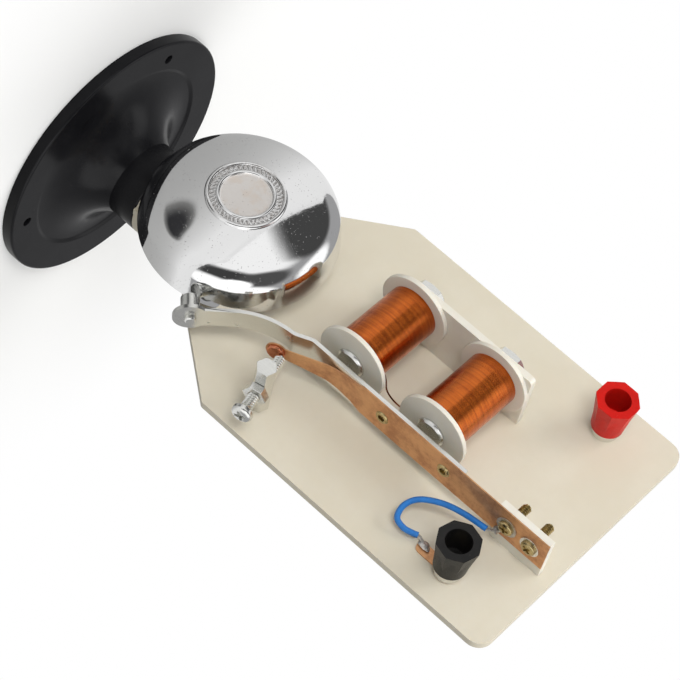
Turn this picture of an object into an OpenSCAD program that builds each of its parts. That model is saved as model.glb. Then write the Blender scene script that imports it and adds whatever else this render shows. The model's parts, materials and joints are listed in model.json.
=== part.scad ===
// Electric bell demonstrator. An upright panel on a round base carries a gong, two coils,
// a sprung armature with its hammer, a contact screw and two binding posts.
// X runs across the panel, Y from its front to its back, Z up; sizes are in millimetres.
// The origin is the centre of the base's underside.

/* [Base] */
// Diameter of the base
base_d = 86.7; // [84:0.1:100]
// Height of the base's edge
base_edge_h = 4; // [3.6:0.1:6]
// Width of the raised ring round the base's top
base_ring_w = 10.4; // [9:0.1:12]
// Depth of the dish inside that ring
base_dish = 0.7; // [0.3:0.1:1]
// Wall of the base moulding
base_wall = 2.4; // [2:0.1:2.8]
// Diameter of the hub
hub_d = 26; // [24:0.5:32]
// Height of the hub's top
hub_top_z = 24; // [20:0.5:30]
// Height at which the flare meets the hub
flare_top_z = 14.3; // [11:0.1:18]
// Diameter of the screw holes in the ring
base_hole_d = 3; // [2.5:0.1:4]
// Number of screw holes
base_holes = 3; // [3:1:6]
// Diameter of the circle that they lie on
base_hole_pcd = 74; // [72:0.5:76]

/* [Panel] */
// Width of the panel
panel_w = 92.5; // [90:0.5:120]
// Height of the panel's top above the table
panel_top_z = 192.5; // [190:0.5:240]
// Thickness of the panel
panel_t = 2.6; // [2:0.1:4]
// Distance of the panel's front face ahead of the base's axis
panel_front = 5.7; // [4.5:0.1:7]
// Height at which the lower chamfers start
chamfer_z = 85.4; // [80:0.1:90]
// Angle of the chamfers from the upright
chamfer_angle = 37.2; // [34:0.1:42]
// Radius of the two top corners
panel_corner_r = 5; // [2:0.5:10]
// Height of the panel's foot socket above the hub
socket_h = 23; // [20:0.5:24]

/* [Gong] */
// Diameter of the gong at its rim
gong_d = 60.4; // [58:0.2:61]
// Height of the gong's axis
gong_z = 54.1; // [53:0.1:58]
// Height of the rim over the panel
gong_rim_h = 10.4; // [9:0.1:12]
// Height of the rounded shoulder's centre over the panel
gong_shoulder_h = 18.9; // [18:0.1:22]
// Radius of the shoulder's rounding
gong_shoulder_r = 2.2; // [1.8:0.1:3]
// Radius of the dome
gong_dome_r = 70; // [55:1:90]
// Wall of the gong
gong_wall = 1.4; // [1.2:0.1:1.6]
// Diameter of the stamped ring
gong_ring_d = 24.4; // [20:0.2:28]

/* [Coils] */
// Height of the coils' axes over the panel
coil_h = 13.2; // [13.2:0.1:16]
// Height of the lower coil above the table
coil_low_z = 109.4; // [107:0.1:112]
// Distance between the two coils
coil_pitch = 30.9; // [28:0.1:34]
// Diameter of the finished windings
winding_d = 17.1; // [14:0.1:20]
// Length of the windings
winding_l = 25.3; // [20:0.1:26]
// Diameter of the bobbin flanges
flange_d = 23.8; // [22:0.1:25]
// Thickness of the bobbin flanges
flange_t = 1.5; // [1.2:0.1:2.4]
// Diameter of the iron cores
core_d = 7; // [6:0.1:8]
// Diameter of the pole faces
pole_d = 9.8; // [9:0.1:12]
// Loops in the outer layer of each winding
winding_loops = 22; // [12:1:22]
// Diameter of the wire in that layer
winding_wire_d = 0.5; // [0.4:0.05:0.5]
// Thickness of the coil bracket
bracket_t = 2.2; // [1.8:0.1:3]
// Height of the coil bracket over the panel
bracket_h = 21.9; // [20:0.1:25]

/* [Armature] */
// Gap from the pole faces to the armature
pole_gap = 2.6; // [1.5:0.1:4]
// Width of the armature and of its spring
armature_w = 12.2; // [10:0.1:13]
// Height of the armature's middle over the panel
armature_h = 10.6; // [9:0.1:12]
// Thickness of the armature
armature_t = 1.2; // [0.8:0.1:2]
// Height of the armature's upper end above the table
armature_top_z = 156.8; // [155:0.1:160]
// Thickness of the leaf spring
spring_t = 0.4; // [0.2:0.05:0.5]
// Diameter of the hammer
hammer_d = 5.6; // [5:0.1:6]
// Length of the hammer from the eye to its face
hammer_l = 5.8; // [4.5:0.1:6]
// Height of the hammer's axis over the panel
hammer_h = 13; // [12.6:0.1:13.4]
// Diameter of the hammer's eye
eye_d = 10.4; // [9:0.1:11]
// Width of the hammer arm beside the eye
arm_w = 7.2; // [6.6:0.1:8]

/* [Contacts and terminals] */
// Across flats of the contact post
post_af = 5.5; // [5:0.1:7]
// Height of the contact post
post_h = 19.4; // [18:0.1:21]
// Distance of the contact post from the panel's middle
post_x = 34.5; // [34:0.1:36]
// Height of the contact post's axis above the table
post_z = 96.6; // [96:0.1:98]
// Angle of the contact screw from the level
contact_tilt = 13.5; // [12:0.5:16]
// Diameter of the contact screw
contact_screw_d = 3.6; // [3:0.1:4]
// Diameter of the small screws
screw_d = 3; // [2.5:0.1:3.2]
// Distance of each binding post from the panel's middle
terminal_x = 34.6; // [32:0.1:36]
// Height of the red binding post above the table
terminal_z_red = 170.7; // [168:0.1:174]
// Height of the black binding post above the table
terminal_z_black = 169.9; // [168:0.1:174]
// Diameter of the binding posts' studs
stud_d = 4; // [3:0.1:4.5]
// Diameter of the caps across their points
cap_d = 13.4; // [12:0.1:15]
// Height of the caps
cap_h = 13.2; // [11:0.1:14]
// Diameter of the recess in the caps
cap_recess_d = 7.9; // [7:0.1:9]

/* [Hidden] */

fine = 96;            // facets of large turned parts
small = 48;           // facets of small turned parts
fit = 0.05;           // radial clearance of a shaft in its bore
loose = 0.2;          // radial clearance of a screw in a drilled hole
eps = 0.01;           // overlap of cuts past a face
level = [90, 0, 0];   // turns a part's own axis to point out of the panel's front
steel = [0.72, 0.73, 0.74];
brass = [0.80, 0.66, 0.36];
copper = [0.78, 0.45, 0.25];
white = [0.95, 0.94, 0.90];

front_y = -panel_front;
back_y = front_y + panel_t;

// Small hardware
head_d = 1.8 * screw_d;
head_t = 0.67 * screw_d;
washer_d = 2.3 * screw_d;
washer_t = 0.5;
nut_af = 1.83 * screw_d;
nut_t = 0.8 * screw_d;
slot_w = 0.3 * screw_d;
slot_depth = 0.35 * screw_d;
slot_reach = 0.3;     // half length of a slot, as a share of the head's diameter
screw_grip = 6;       // length of a rear screw inside what it holds
contact_head_d = 1.8 * contact_screw_d;
contact_head_t = 2.1;
lock_nut_af = 1.83 * contact_screw_d;
lock_nut_t = 2.5;
clamp_head_d = 1.65 * screw_d;
clamp_head_t = 1.2;
clamp_washer_d = 6.6;
clamp_washer_t = 0.4;
clamp_nut_t = 2.1;

// Base
ring_in_r = base_d / 2 - base_ring_w;
hub_r = hub_d / 2;
spigot_r = hub_r - 3.5;
spigot_top_z = hub_top_z + 13.6;
web_t = 3;
base_screw_d = 4;

// Panel
foot_z = chamfer_z - (panel_w / 2 - hub_r) / tan(chamfer_angle);
socket_top_z = hub_top_z + socket_h;
socket_round = 3;

// Gong
shoulder_ring_r = gong_d / 2 - 3;
crease_angle = 40;
dome_angle = asin(shoulder_ring_r / (gong_dome_r - gong_shoulder_r));
dome_centre_h = gong_shoulder_h - (gong_dome_r - gong_shoulder_r) * cos(dome_angle);
ring_r = gong_ring_d / 2;
boss_d = 10;
boss_t = 4;
boss_clearance = 0.03;
boss_top_h = dome_centre_h + sqrt(pow(gong_dome_r - gong_wall, 2) - pow(boss_d / 2, 2)) - boss_clearance;
pillar_af = 7;
pillar_top_h = boss_top_h - boss_t;
pillar_stud_l = 3;

// Coils, along X
coil_high_z = coil_low_z + coil_pitch;
pole_x = 13.2;        // face of the cores
pole_stand = 1.3;     // how far the pole faces stand out of the flange
winding_x1 = pole_x - pole_stand - flange_t;
winding_x0 = winding_x1 - winding_l;
bracket_x = winding_x0 - flange_t;
bobbin_tube_r = core_d / 2 + 1.4;
bracket_z0 = coil_low_z - 11.4;
bracket_z1 = coil_high_z + 11.4;
bracket_low_r = 10;
bracket_high_r = 1.5;
foot_l = 9.5;
foot_w = 18;
foot_t = 2.5;
foot_hole_x = bracket_x - bracket_t - 4.9;
foot_hole_pitch = 7.4;
bolt_d = 5;
bolt_af = 10.6;
bolt_head_t = 4.4;
bolt_grip = 12;
bolt_face_d = 0.94 * bolt_af;
wire_r = winding_wire_d / 2;
loop_rings = 15;      // rings of the wire tube in each loop
wire_sides = 6;
loop_r = winding_d / 2 - wire_r;
wire_bend_r = 0.8;
link_wire_d = 0.5;

// Armature, spring and contact, all bent along X and Z
armature_x = pole_x + pole_gap;               // face towards the coils
spring_x = armature_x + armature_t;           // seat of the spring
armature_low_z = 99.1;        // where the armature's first bend starts
contact_bend_z = 111.6;       // where the spring's bend starts
spring_step_z = 118.5;        // where the spring narrows into the contact arm
block_z0 = 170;
block_z1 = 188.3;
block_t = 2.2;
block_h = 16.7;
block_foot_l = 7.2;
block_foot_h = 4;
block_foot_w = 14;
block_screw_grip = 3.4;
flexure_z = (armature_top_z + block_z0) / 2;
flexure_gap = 0.3;
eyelet_z = [127, 150.4];
eyelet_hole_r = 1.75;
clamp_screw_h = 10.2;
clamp_screw_z = [174.4, 182.8];
clamp_screw_tip_x = 7.9;
rivet_hole_r = 1;
rivet_head_r = 2.85;
rivet_head_t = 1;
contact_eye_r = 3.3;
contact_eye_t = spring_t + 0.04;
contact_gap = 0.15;
collar_d = 8.4;
collar_t = 3.2;
terminal_nut_t = 3;
terminal_nut_af = 7;
tag_t = 0.4;
running = 0.1;        // gap under a part that turns

// ---------------------------------------------------------------- shapes and rules

// Puts a part that is drawn along +Z on the panel's front at x, z, h above the panel
module on_panel(x, z, h = 0) {
    translate([x, front_y - h, z]) rotate(level) children();
}

// The same on the panel's back, pointing backwards
module behind_panel(x, z) {
    translate([x, back_y, z]) rotate(-level) children();
}

// Turns a part that is drawn along +Z to point along X, at height h over the panel
module along_x(x, h, z) {
    translate([x, front_y - h, z]) rotate([0, 90, 0]) children();
}

// Hexagonal prism by its size across flats
module hex_prism(af, t) {
    cylinder(d = af / cos(30), h = t, $fn = 6);
}

// Pan head with a cross slot, its seat at z = 0
module pan_head(d, t) {
    edge_t = 0.45 * t;
    slot_t = min(slot_depth, 0.6 * t);
    difference() {
        rotate_extrude($fn = small) polygon(concat(
            [[0, 0], [d / 2, 0]],
            [for (a = [0:18:72]) [d / 2 - 0.3 * d * (1 - cos(a)), edge_t + (t - edge_t) * sin(a)]],
            [[0.2 * d, t], [0, t]]));
        for (a = [0, 90]) rotate(a)
            translate([-d * slot_reach, -slot_w / 2, t - slot_t]) cube([2 * d * slot_reach, slot_w, t]);
    }
}

// Pan-head screw with a plain shank of length l below its seat
module pan_screw(d, l, head = head_d, t = head_t) {
    pan_head(head, t);
    translate([0, 0, -l]) cylinder(d = d, h = l + eps, $fn = small);
}

// Flat ring
module washer(outer_d, inner_d, t) {
    difference() {
        cylinder(d = outer_d, h = t, $fn = small);
        translate([0, 0, -eps]) cylinder(d = inner_d, h = t + 2 * eps, $fn = small);
    }
}

// Hexagonal nut
module hex_nut(af, hole_d, t) {
    difference() {
        hex_prism(af, t);
        translate([0, 0, -eps]) cylinder(d = hole_d, h = t + 2 * eps, $fn = small);
    }
}

// Points of an arc about [cx, cy] from angle a0 to a1
function arc(cx, cy, r, a0, a1, n) =
    [for (i = [0:n]) let (a = a0 + (a1 - a0) * i / n) [cx + r * cos(a), cy + r * sin(a)]];

function unit(v) = v / norm(v);

// One corner of an outline, rounded to radius r
function round_corner(before, at, after, r, n = 8) =
    let (u = unit(before - at), v = unit(after - at), half = acos(u * v) / 2,
         reach = r / tan(half), centre = at + unit(u + v) * r / sin(half),
         p = at + u * reach - centre, q = at + v * reach - centre,
         a0 = atan2(p.y, p.x), turn = atan2(p.x * q.y - p.y * q.x, p * q))
    [for (i = [0:n]) centre + r * [cos(a0 + turn * i / n), sin(a0 + turn * i / n)]];

// Outline whose corners [x, y, radius] are rounded where the radius isn't 0
function rounded_outline(c) =
    [for (i = [0:len(c) - 1])
        let (a = c[(i + len(c) - 1) % len(c)], b = c[i], d = c[(i + 1) % len(c)])
        each b[2] > 0 ? round_corner([a.x, a.y], [b.x, b.y], [d.x, d.y], b[2]) : [[b.x, b.y]]];

// Centre line of a bent strip: starts at p, heading down turned outwards by h degrees;
// each bend is [straight length, turn in degrees, radius]. Returns [point, heading] pairs.
function bent_line(p, h, bends, i = 0) =
    i == len(bends) ? [[p, h]] :
    let (b = bends[i], q = p + b[0] * ahead(h), side = sign(b[1]),
         centre = q + side * b[2] * outward(h), n = max(1, ceil(abs(b[1]) / 5)))
    concat([[p, h]],
        b[1] == 0 ? [] :
            [for (k = [0:n - 1]) let (t = h + b[1] * k / n) [centre - side * b[2] * outward(t), t]],
        bent_line(b[1] == 0 ? q : centre - side * b[2] * outward(h + b[1]), h + b[1], bends, i + 1));

// Unit steps along and across a strip that heads down, turned outwards by h
function ahead(h) = [sin(h), -cos(h)];
function outward(h) = [cos(h), sin(h)];

// Outline of a strip of thickness t on a centre line
function strip_outline(line, t) = concat(
    [for (s = line) s[0] + outward(s[1]) * t / 2],
    [for (i = [len(line) - 1:-1:0]) line[i][0] - outward(line[i][1]) * t / 2]);

// Strip of thickness t on a line in X and Z, extruded through the depth that it may fill
module bent_strip(line, t) {
    depth = 40;
    translate([0, front_y, 0]) rotate(level)
        linear_extrude(depth) polygon(strip_outline(line, t));
}

// Keeps what lies inside an outline drawn in [height over the panel, z]
module trim_width(outline) {
    reach = 80;
    intersection() {
        children();
        translate([0, front_y, 0]) rotate([90, 0, 90])
            linear_extrude(reach, center = true) polygon([for (p = outline) [-p.x, p.y]]);
    }
}

// Points of a smooth curve through p, with k steps between neighbours
function smooth(p, k) = concat(
    [for (i = [0:len(p) - 2], j = [0:k - 1])
        let (t = j / k, a = p[max(i - 1, 0)], b = p[i], c = p[i + 1], d = p[min(i + 2, len(p) - 1)])
        0.5 * (2 * b + (c - a) * t + (2 * a - 5 * b + 4 * c - d) * t * t
            + (3 * b - a - 3 * c + d) * t * t * t)],
    [p[len(p) - 1]]);

// Direction of a path at point i
function heading(p, i) = unit(p[min(i + 1, len(p) - 1)] - p[max(i - 1, 0)]);

// Side vectors carried along a path without twist
function carried(p, i, u) =
    i == len(p) ? [] :
    let (t = heading(p, i), s = unit(u - (u * t) * t)) concat([s], carried(p, i + 1, s));

// Round tube along a path, with the given number of sides
module tube(path, r, sides, start = [0, 0, 1]) {
    n = len(path);
    across = carried(path, 0, start);
    points = [for (i = [0:n - 1]) let (t = heading(path, i), v = cross(t, across[i]))
        for (k = [0:sides - 1]) let (a = 360 * k / sides)
            path[i] + r * (cos(a) * across[i] + sin(a) * v)];
    faces = concat(
        [[for (k = [sides - 1:-1:0]) k]],
        [for (i = [0:n - 2], k = [0:sides - 1]) let (m = (k + 1) % sides, b = i * sides)
            each [[b + k, b + m, b + sides + k], [b + m, b + sides + m, b + sides + k]]],
        [[for (k = [0:sides - 1]) (n - 1) * sides + k]]);
    polyhedron(points, [for (f = faces) [for (k = [len(f) - 1:-1:0]) f[k]]]);
}

// ---------------------------------------------------------------- base and panel

// Concave flare from the dish up to the hub, as [radius, z]
flare_start = [ring_in_r - 1, base_edge_h - base_dish];
flare_run = flare_start.x - hub_r;
flare_rise = flare_top_z - flare_start.y;
flare_sweep = 2 * atan(flare_rise / flare_run);
flare_r = flare_run / sin(flare_sweep);
function flare(offset) = arc(flare_start.x, flare_start.y + flare_r, flare_r + offset,
    -90, -90 - flare_sweep, 14);

module base() {
    edge_r = 0.8;
    lip = 0.5;
    rim = base_d / 2;
    under_r = rim - 4;
    under_z = flare_start.y - base_wall;
    inside_r = hub_r - base_wall;
    outside = concat(
        [[0, 0], [rim, 0]],
        arc(rim - edge_r, base_edge_h - edge_r, edge_r, 0, 90, 4),
        [[ring_in_r, base_edge_h]],
        flare(0),
        [[hub_r, hub_top_z - lip], [hub_r - lip, hub_top_z], [spigot_r, hub_top_z],
         [spigot_r, spigot_top_z - lip], [spigot_r - lip, spigot_top_z], [0, spigot_top_z]]);
    hollow = concat(
        [[0, -eps], [under_r, -eps], [under_r, under_z]],
        [for (p = flare(base_wall)) if (p.x > inside_r) p],
        [[inside_r, flare_top_z - base_wall], [inside_r, hub_top_z - base_wall - 2],
         [spigot_r - base_wall, hub_top_z - base_wall], [spigot_r - base_wall, spigot_top_z - web_t],
         [0, spigot_top_z - web_t]]);
    color([0.07, 0.07, 0.08]) difference() {
        rotate_extrude($fn = fine) polygon(outside);
        rotate_extrude($fn = fine) polygon(hollow);
        cylinder(d = base_screw_d + 2 * loose, h = spigot_top_z + 1, $fn = small);
        for (i = [0:base_holes - 1]) rotate(i * 360 / base_holes)
            translate([base_hole_pcd / 2, 0, -1])
                cylinder(d = base_hole_d, h = base_edge_h + 2, $fn = small);
    }
}

module base_screw() {
    color(steel) translate([0, 0, spigot_top_z - web_t]) rotate([180, 0, 0])
        pan_screw(base_screw_d, web_t + 7, 1.9 * base_screw_d);
}

module panel() {
    side = panel_w / 2;
    outline = rounded_outline([
        [hub_r, hub_top_z, 0], [hub_r, foot_z, 4], [side, chamfer_z, 2],
        [side, panel_top_z, panel_corner_r], [-side, panel_top_z, panel_corner_r],
        [-side, chamfer_z, 2], [-hub_r, foot_z, 4], [-hub_r, hub_top_z, 0]]);
    rear_hole_d = screw_d + 2 * loose;
    color([0.83, 0.80, 0.72]) difference() {
        union() {
            translate([0, back_y, 0]) rotate(level) linear_extrude(panel_t) polygon(outline);
            rotate_extrude($fn = fine) polygon(concat([[0, hub_top_z], [hub_r, hub_top_z]],
                arc(hub_r - socket_round, socket_top_z - socket_round, socket_round, 0, 90, 6),
                [[0, socket_top_z]]));
        }
        cylinder(r = spigot_r + fit, h = spigot_top_z + 0.2, $fn = fine);
        cylinder(d = base_screw_d - 2 * fit + 0.2, h = spigot_top_z + 8, $fn = small);
        for (p = rear_screw_places)
            behind_panel(p.x, p.y) translate([0, 0, -panel_t - 1])
                cylinder(d = rear_hole_d, h = panel_t + 2, $fn = small);
        for (p = terminal_places)
            behind_panel(p.x, p.y) translate([0, 0, -panel_t - 1])
                cylinder(d = stud_d + 2 * loose, h = panel_t + 2, $fn = small);
        for (z = bracket_screw_z)
            behind_panel(foot_hole_x, z) translate([0, 0, -panel_t - 1])
                cylinder(d = rear_hole_d, h = panel_t + 2, $fn = small);
    }
}

// ---------------------------------------------------------------- gong

// Half section of the gong's outside [radius, height], from the rim up to the stamped ring
function gong_outside(inset) =
    let (r = gong_d / 2 - inset, s = gong_shoulder_r - inset, d = gong_dome_r - inset, n = 8)
    concat(
        [[r, gong_rim_h]],
        arc(shoulder_ring_r, gong_shoulder_h, s, -crease_angle, 90 - dome_angle, 8),
        [for (i = [1:n]) let (a = dome_angle * (1 - i / n)) [d * sin(a), dome_centre_h + d * cos(a)]]);

module gong() {
    dome_h = dome_centre_h + sqrt(pow(gong_dome_r, 2) - pow(ring_r, 2));
    rise = 1.1;
    disc_r = 8.4;
    disc_h = dome_h + 0.5;
    ring = [[ring_r, dome_h - 0.1], [ring_r - 0.3, dome_h + rise - 0.3], [ring_r - 0.8, dome_h + rise],
        [ring_r - 1.3, dome_h + rise - 0.2], [ring_r - 1.6, dome_h + 0.5], [disc_r + 0.7, dome_h + 0.3],
        [disc_r + 0.4, disc_h + 0.3], [disc_r - 0.1, disc_h + 0.5], [disc_r - 0.6, disc_h + 0.2],
        [disc_r - 1, disc_h - 0.1], [0, disc_h - 0.3], [0, dome_h - 0.6], [ring_r - 2, dome_h - 0.6]];
    color([0.80, 0.81, 0.83]) on_panel(0, gong_z) difference() {
        union() {
            difference() {
                rotate_extrude($fn = fine) polygon(concat(gong_outside(0), [[0, gong_rim_h]]));
                translate([0, 0, dome_h - 0.1]) cylinder(r = ring_r, h = 4, $fn = fine);
            }
            rotate_extrude($fn = fine) polygon(ring);
        }
        rotate_extrude($fn = fine)
            polygon(concat([[gong_d / 2 - gong_wall, gong_rim_h - eps]], gong_outside(gong_wall),
                [[0, gong_rim_h - eps]]));
    }
}

module gong_boss() {
    color(brass) on_panel(0, gong_z, pillar_top_h) difference() {
        cylinder(d = boss_d, h = boss_t, $fn = small);
        translate([0, 0, -eps]) cylinder(d = stud_d + 2 * fit, h = pillar_stud_l + 0.3, $fn = small);
    }
}

module gong_pillar() {
    color(steel) on_panel(0, gong_z) difference() {
        union() {
            hex_prism(pillar_af, pillar_top_h);
            cylinder(d = stud_d, h = pillar_top_h + pillar_stud_l, $fn = small);
        }
        translate([0, 0, -eps]) cylinder(d = screw_d + 2 * fit, h = screw_grip + 1, $fn = small);
    }
}

// ---------------------------------------------------------------- coils

module bobbin(z) {
    color(white) along_x(winding_x0 - flange_t, coil_h, z) difference() {
        union() {
            cylinder(d = flange_d, h = flange_t, $fn = fine);
            cylinder(r = bobbin_tube_r, h = winding_l + 2 * flange_t, $fn = small);
            translate([0, 0, winding_l + flange_t]) cylinder(d = flange_d, h = flange_t, $fn = fine);
        }
        translate([0, 0, -eps])
            cylinder(d = core_d + 2 * fit, h = winding_l + 2 * flange_t + 2 * eps, $fn = small);
    }
}

// Path of the outer layer, laid out flat as [way round, way along] and wrapped on the winding.
// Each end bends from the last loop into a short straight run square to its flange.
pitch_run = winding_l - 2 * (wire_bend_r + winding_wire_d);
wire_pitch = pitch_run / winding_loops;
function winding_path() =
    let (once = 2 * PI * loop_r, lead = wire_bend_r + winding_wire_d, all = winding_loops * once,
         n = winding_loops * loop_rings)
    concat(
        [[-wire_bend_r, 0], [-wire_bend_r, winding_wire_d]],
        [for (a = [30, 60]) [-wire_bend_r * cos(a), winding_wire_d + wire_bend_r * sin(a)]],
        [for (i = [0:n]) [all * i / n, lead + pitch_run * i / n]],
        [for (a = [60, 30]) [all + wire_bend_r * cos(a), winding_l - winding_wire_d - wire_bend_r * sin(a)]],
        [[all + wire_bend_r, winding_l - winding_wire_d], [all + wire_bend_r, winding_l]]);
function wrapped(q) = let (a = q.x / loop_r * 180 / PI) [loop_r * cos(a), loop_r * sin(a), q.y];

// Least gap between one loop and the next, over the points of the path
function least_gap(p) = min([for (i = [0:len(p) - loop_rings - 3], k = [-2:2])
    norm(p[i] - p[i + loop_rings + k])]) - winding_wire_d;

wound = [for (q = winding_path()) wrapped(q)];
echo(least_gap_of_winding = least_gap(wound));

module winding(z) {
    core_r = loop_r * cos(180 / loop_rings) - wire_r - 0.05;
    color(copper) along_x(winding_x0, coil_h, z) {
        difference() {
            cylinder(r = core_r, h = winding_l, $fn = small);
            translate([0, 0, -eps]) cylinder(r = bobbin_tube_r, h = winding_l + 2 * eps, $fn = small);
        }
        tube(wound, wire_r, wire_sides, [1, 0, 0]);
    }
}

// Soft-iron core with a bevelled pole face and a tapped hole in its far end
module core(z) {
    bevel = 0.8;
    length = pole_x - bracket_x;
    color([0.62, 0.63, 0.64]) along_x(bracket_x, coil_h, z) difference() {
        union() {
            cylinder(d = core_d, h = length - pole_stand + eps, $fn = small);
            translate([0, 0, length - pole_stand]) cylinder(d = pole_d, h = pole_stand - bevel, $fn = small);
            translate([0, 0, length - bevel])
                cylinder(d1 = pole_d, d2 = pole_d - 2 * bevel, h = bevel, $fn = small);
        }
        translate([0, 0, -eps]) cylinder(d = bolt_d + 2 * fit, h = bolt_grip + 0.5, $fn = small);
    }
}

module core_bolts() {
    for (z = [coil_low_z, coil_high_z])
        color(steel) along_x(bracket_x - bracket_t, coil_h, z) {
            translate([0, 0, -eps]) cylinder(d = bolt_d, h = bracket_t + bolt_grip + eps, $fn = small);
            translate([0, 0, -bolt_head_t]) intersection() {
                hex_prism(bolt_af, bolt_head_t);
                cylinder(d1 = bolt_face_d, d2 = bolt_face_d + 4 * bolt_head_t, h = bolt_head_t, $fn = small);
            }
        }
}

bracket_screw_z = [for (s = [-1, 1]) (coil_low_z + coil_high_z) / 2 + s * foot_hole_pitch / 2];

module coil_bracket() {
    mid_z = (bracket_z0 + bracket_z1) / 2;
    gusset_h = 0.55 * bracket_h;
    plate = rounded_outline([[0, bracket_z0, 0], [bracket_h, bracket_z0, bracket_low_r],
        [bracket_h, bracket_z1, bracket_high_r], [0, bracket_z1, 0]]);
    color(white) difference() {
        union() {
            translate([bracket_x - bracket_t, front_y, 0]) rotate([90, 0, 90])
                linear_extrude(bracket_t) polygon([for (p = plate) [-p.x, p.y]]);
            translate([bracket_x - bracket_t - foot_l, front_y - foot_t, mid_z - foot_w / 2])
                cube([foot_l + eps, foot_t, foot_w]);
            for (z = [mid_z - foot_w / 2, mid_z + foot_w / 2 - bracket_t])
                translate([bracket_x - bracket_t + eps, front_y, z])
                    linear_extrude(bracket_t) polygon([[0, 0], [-foot_l, 0], [-foot_l, -foot_t],
                        [-bracket_t, -gusset_h], [0, -gusset_h]]);
        }
        for (z = [coil_low_z, coil_high_z])
            along_x(bracket_x - bracket_t - eps, coil_h, z)
                cylinder(d = bolt_d + 2 * loose, h = bracket_t + 2 * eps, $fn = small);
        for (z = bracket_screw_z)
            on_panel(foot_hole_x, z, -eps)
                cylinder(d = screw_d + 2 * loose, h = foot_t + 2 * eps, $fn = small);
    }
}

module bracket_screws() {
    color(steel) for (z = bracket_screw_z)
        on_panel(foot_hole_x, z, foot_t) pan_screw(screw_d, foot_t + panel_t + washer_t + nut_t + 0.8);
}

module bracket_nuts() {
    color(steel) for (z = bracket_screw_z) behind_panel(foot_hole_x, z) {
        washer(washer_d, screw_d + 2 * loose, washer_t);
        translate([0, 0, washer_t]) hex_nut(nut_af, screw_d + 2 * fit, nut_t);
    }
}

// Route of the link wire between the windings, as [x, height over the panel, z]
link_route = [[8.8, 14.6, 118], [8.8, 15, 119.2], [8.8, 12.6, 120.4], [8.8, 9.6, 121.2], [8.8, 8, 122.8],
    [8.8, 7.2, 125], [8.8, 7.3, 127.4], [8.8, 8.4, 130], [8.8, 9.9, 132.2]];

module coil_link_wire() {
    color([0.45, 0.22, 0.12])
        tube([for (p = smooth(link_route, 3)) [p.x, front_y - p.y, p.z]], link_wire_d / 2, wire_sides);
}

// ---------------------------------------------------------------- armature, spring and hammer

// Centre lines: the armature runs down, jogs outwards round the gong and ends in the hammer's eye
arm_bends = [[armature_top_z - armature_low_z, 25.3, 3.4], [4.1, -20.1, 4.7], [0.4, 39.9, 25.9],
    [11.8, 0, 0]];
arm_line = bent_line([armature_x + armature_t / 2, armature_top_z], 0, arm_bends);
arm_end = arm_line[len(arm_line) - 1];
spring_bends = [[flexure_z - flexure_gap / 2 - contact_bend_z, 21, 20.3], [13.8, 0, 0]];
spring_line = bent_line([spring_x + spring_t / 2, flexure_z - flexure_gap / 2], 0, spring_bends);
spring_end = spring_line[len(spring_line) - 1];

module armature() {
    half = armature_w / 2;
    step_start = armature_low_z - 1;
    step_end = armature_low_z - 7;
    eye = arm_end[0];
    tilt = arm_end[1];
    outline = [[armature_h - half, armature_top_z + 1], [armature_h + half, armature_top_z + 1],
        [armature_h + half, step_start], [hammer_h + arm_w / 2, step_end], [hammer_h + arm_w / 2, eye.y],
        [hammer_h - arm_w / 2, eye.y], [hammer_h - arm_w / 2, step_end], [armature_h - half, step_start]];
    color(steel) difference() {
        union() {
            trim_width(outline) bent_strip(arm_line, armature_t);
            at_eye(eye, tilt) translate([0, 0, -armature_t / 2])
                cylinder(d = eye_d, h = armature_t, $fn = small);
        }
        at_eye(eye, tilt) translate([0, 0, -2]) cylinder(d = hammer_shank_d + 2 * fit, h = 4, $fn = small);
        for (z = eyelet_z) along_x(armature_x - 1, armature_h, z)
            cylinder(r = eyelet_hole_r, h = armature_t + 2, $fn = small);
    }
}

// Puts a part at the hammer's eye, its own +Z pointing at the gong
module at_eye(eye, tilt) {
    translate([eye.x, front_y - hammer_h, eye.y]) rotate([0, -90 - tilt, 0]) children();
}

hammer_shank_d = 3.2;

module hammer() {
    edge = 0.4;
    seat = armature_t / 2 + 0.02;
    tail = 1.5;
    tail_r = 0.53 * hammer_shank_d;
    color([0.78, 0.77, 0.72]) at_eye(arm_end[0], arm_end[1]) {
        rotate_extrude($fn = small)
            polygon([[0, seat], [hammer_d / 2, seat], [hammer_d / 2, seat + hammer_l - edge],
                [hammer_d / 2 - edge, seat + hammer_l], [0, seat + hammer_l]]);
        translate([0, 0, -seat]) cylinder(d = hammer_shank_d, h = 2 * seat + eps, $fn = small);
        rotate_extrude($fn = small)
            polygon([[0, -seat - tail], [tail_r - edge, -seat - tail], [tail_r, -seat - tail + edge],
                [tail_r, -seat], [0, -seat]]);
    }
}

// Puts a part at the contact rivet, its own +Z pointing at the contact screw
module at_rivet() {
    translate([spring_end[0].x, front_y - armature_h, spring_end[0].y])
        rotate([0, 90 - spring_end[1], 0]) children();
}

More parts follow.
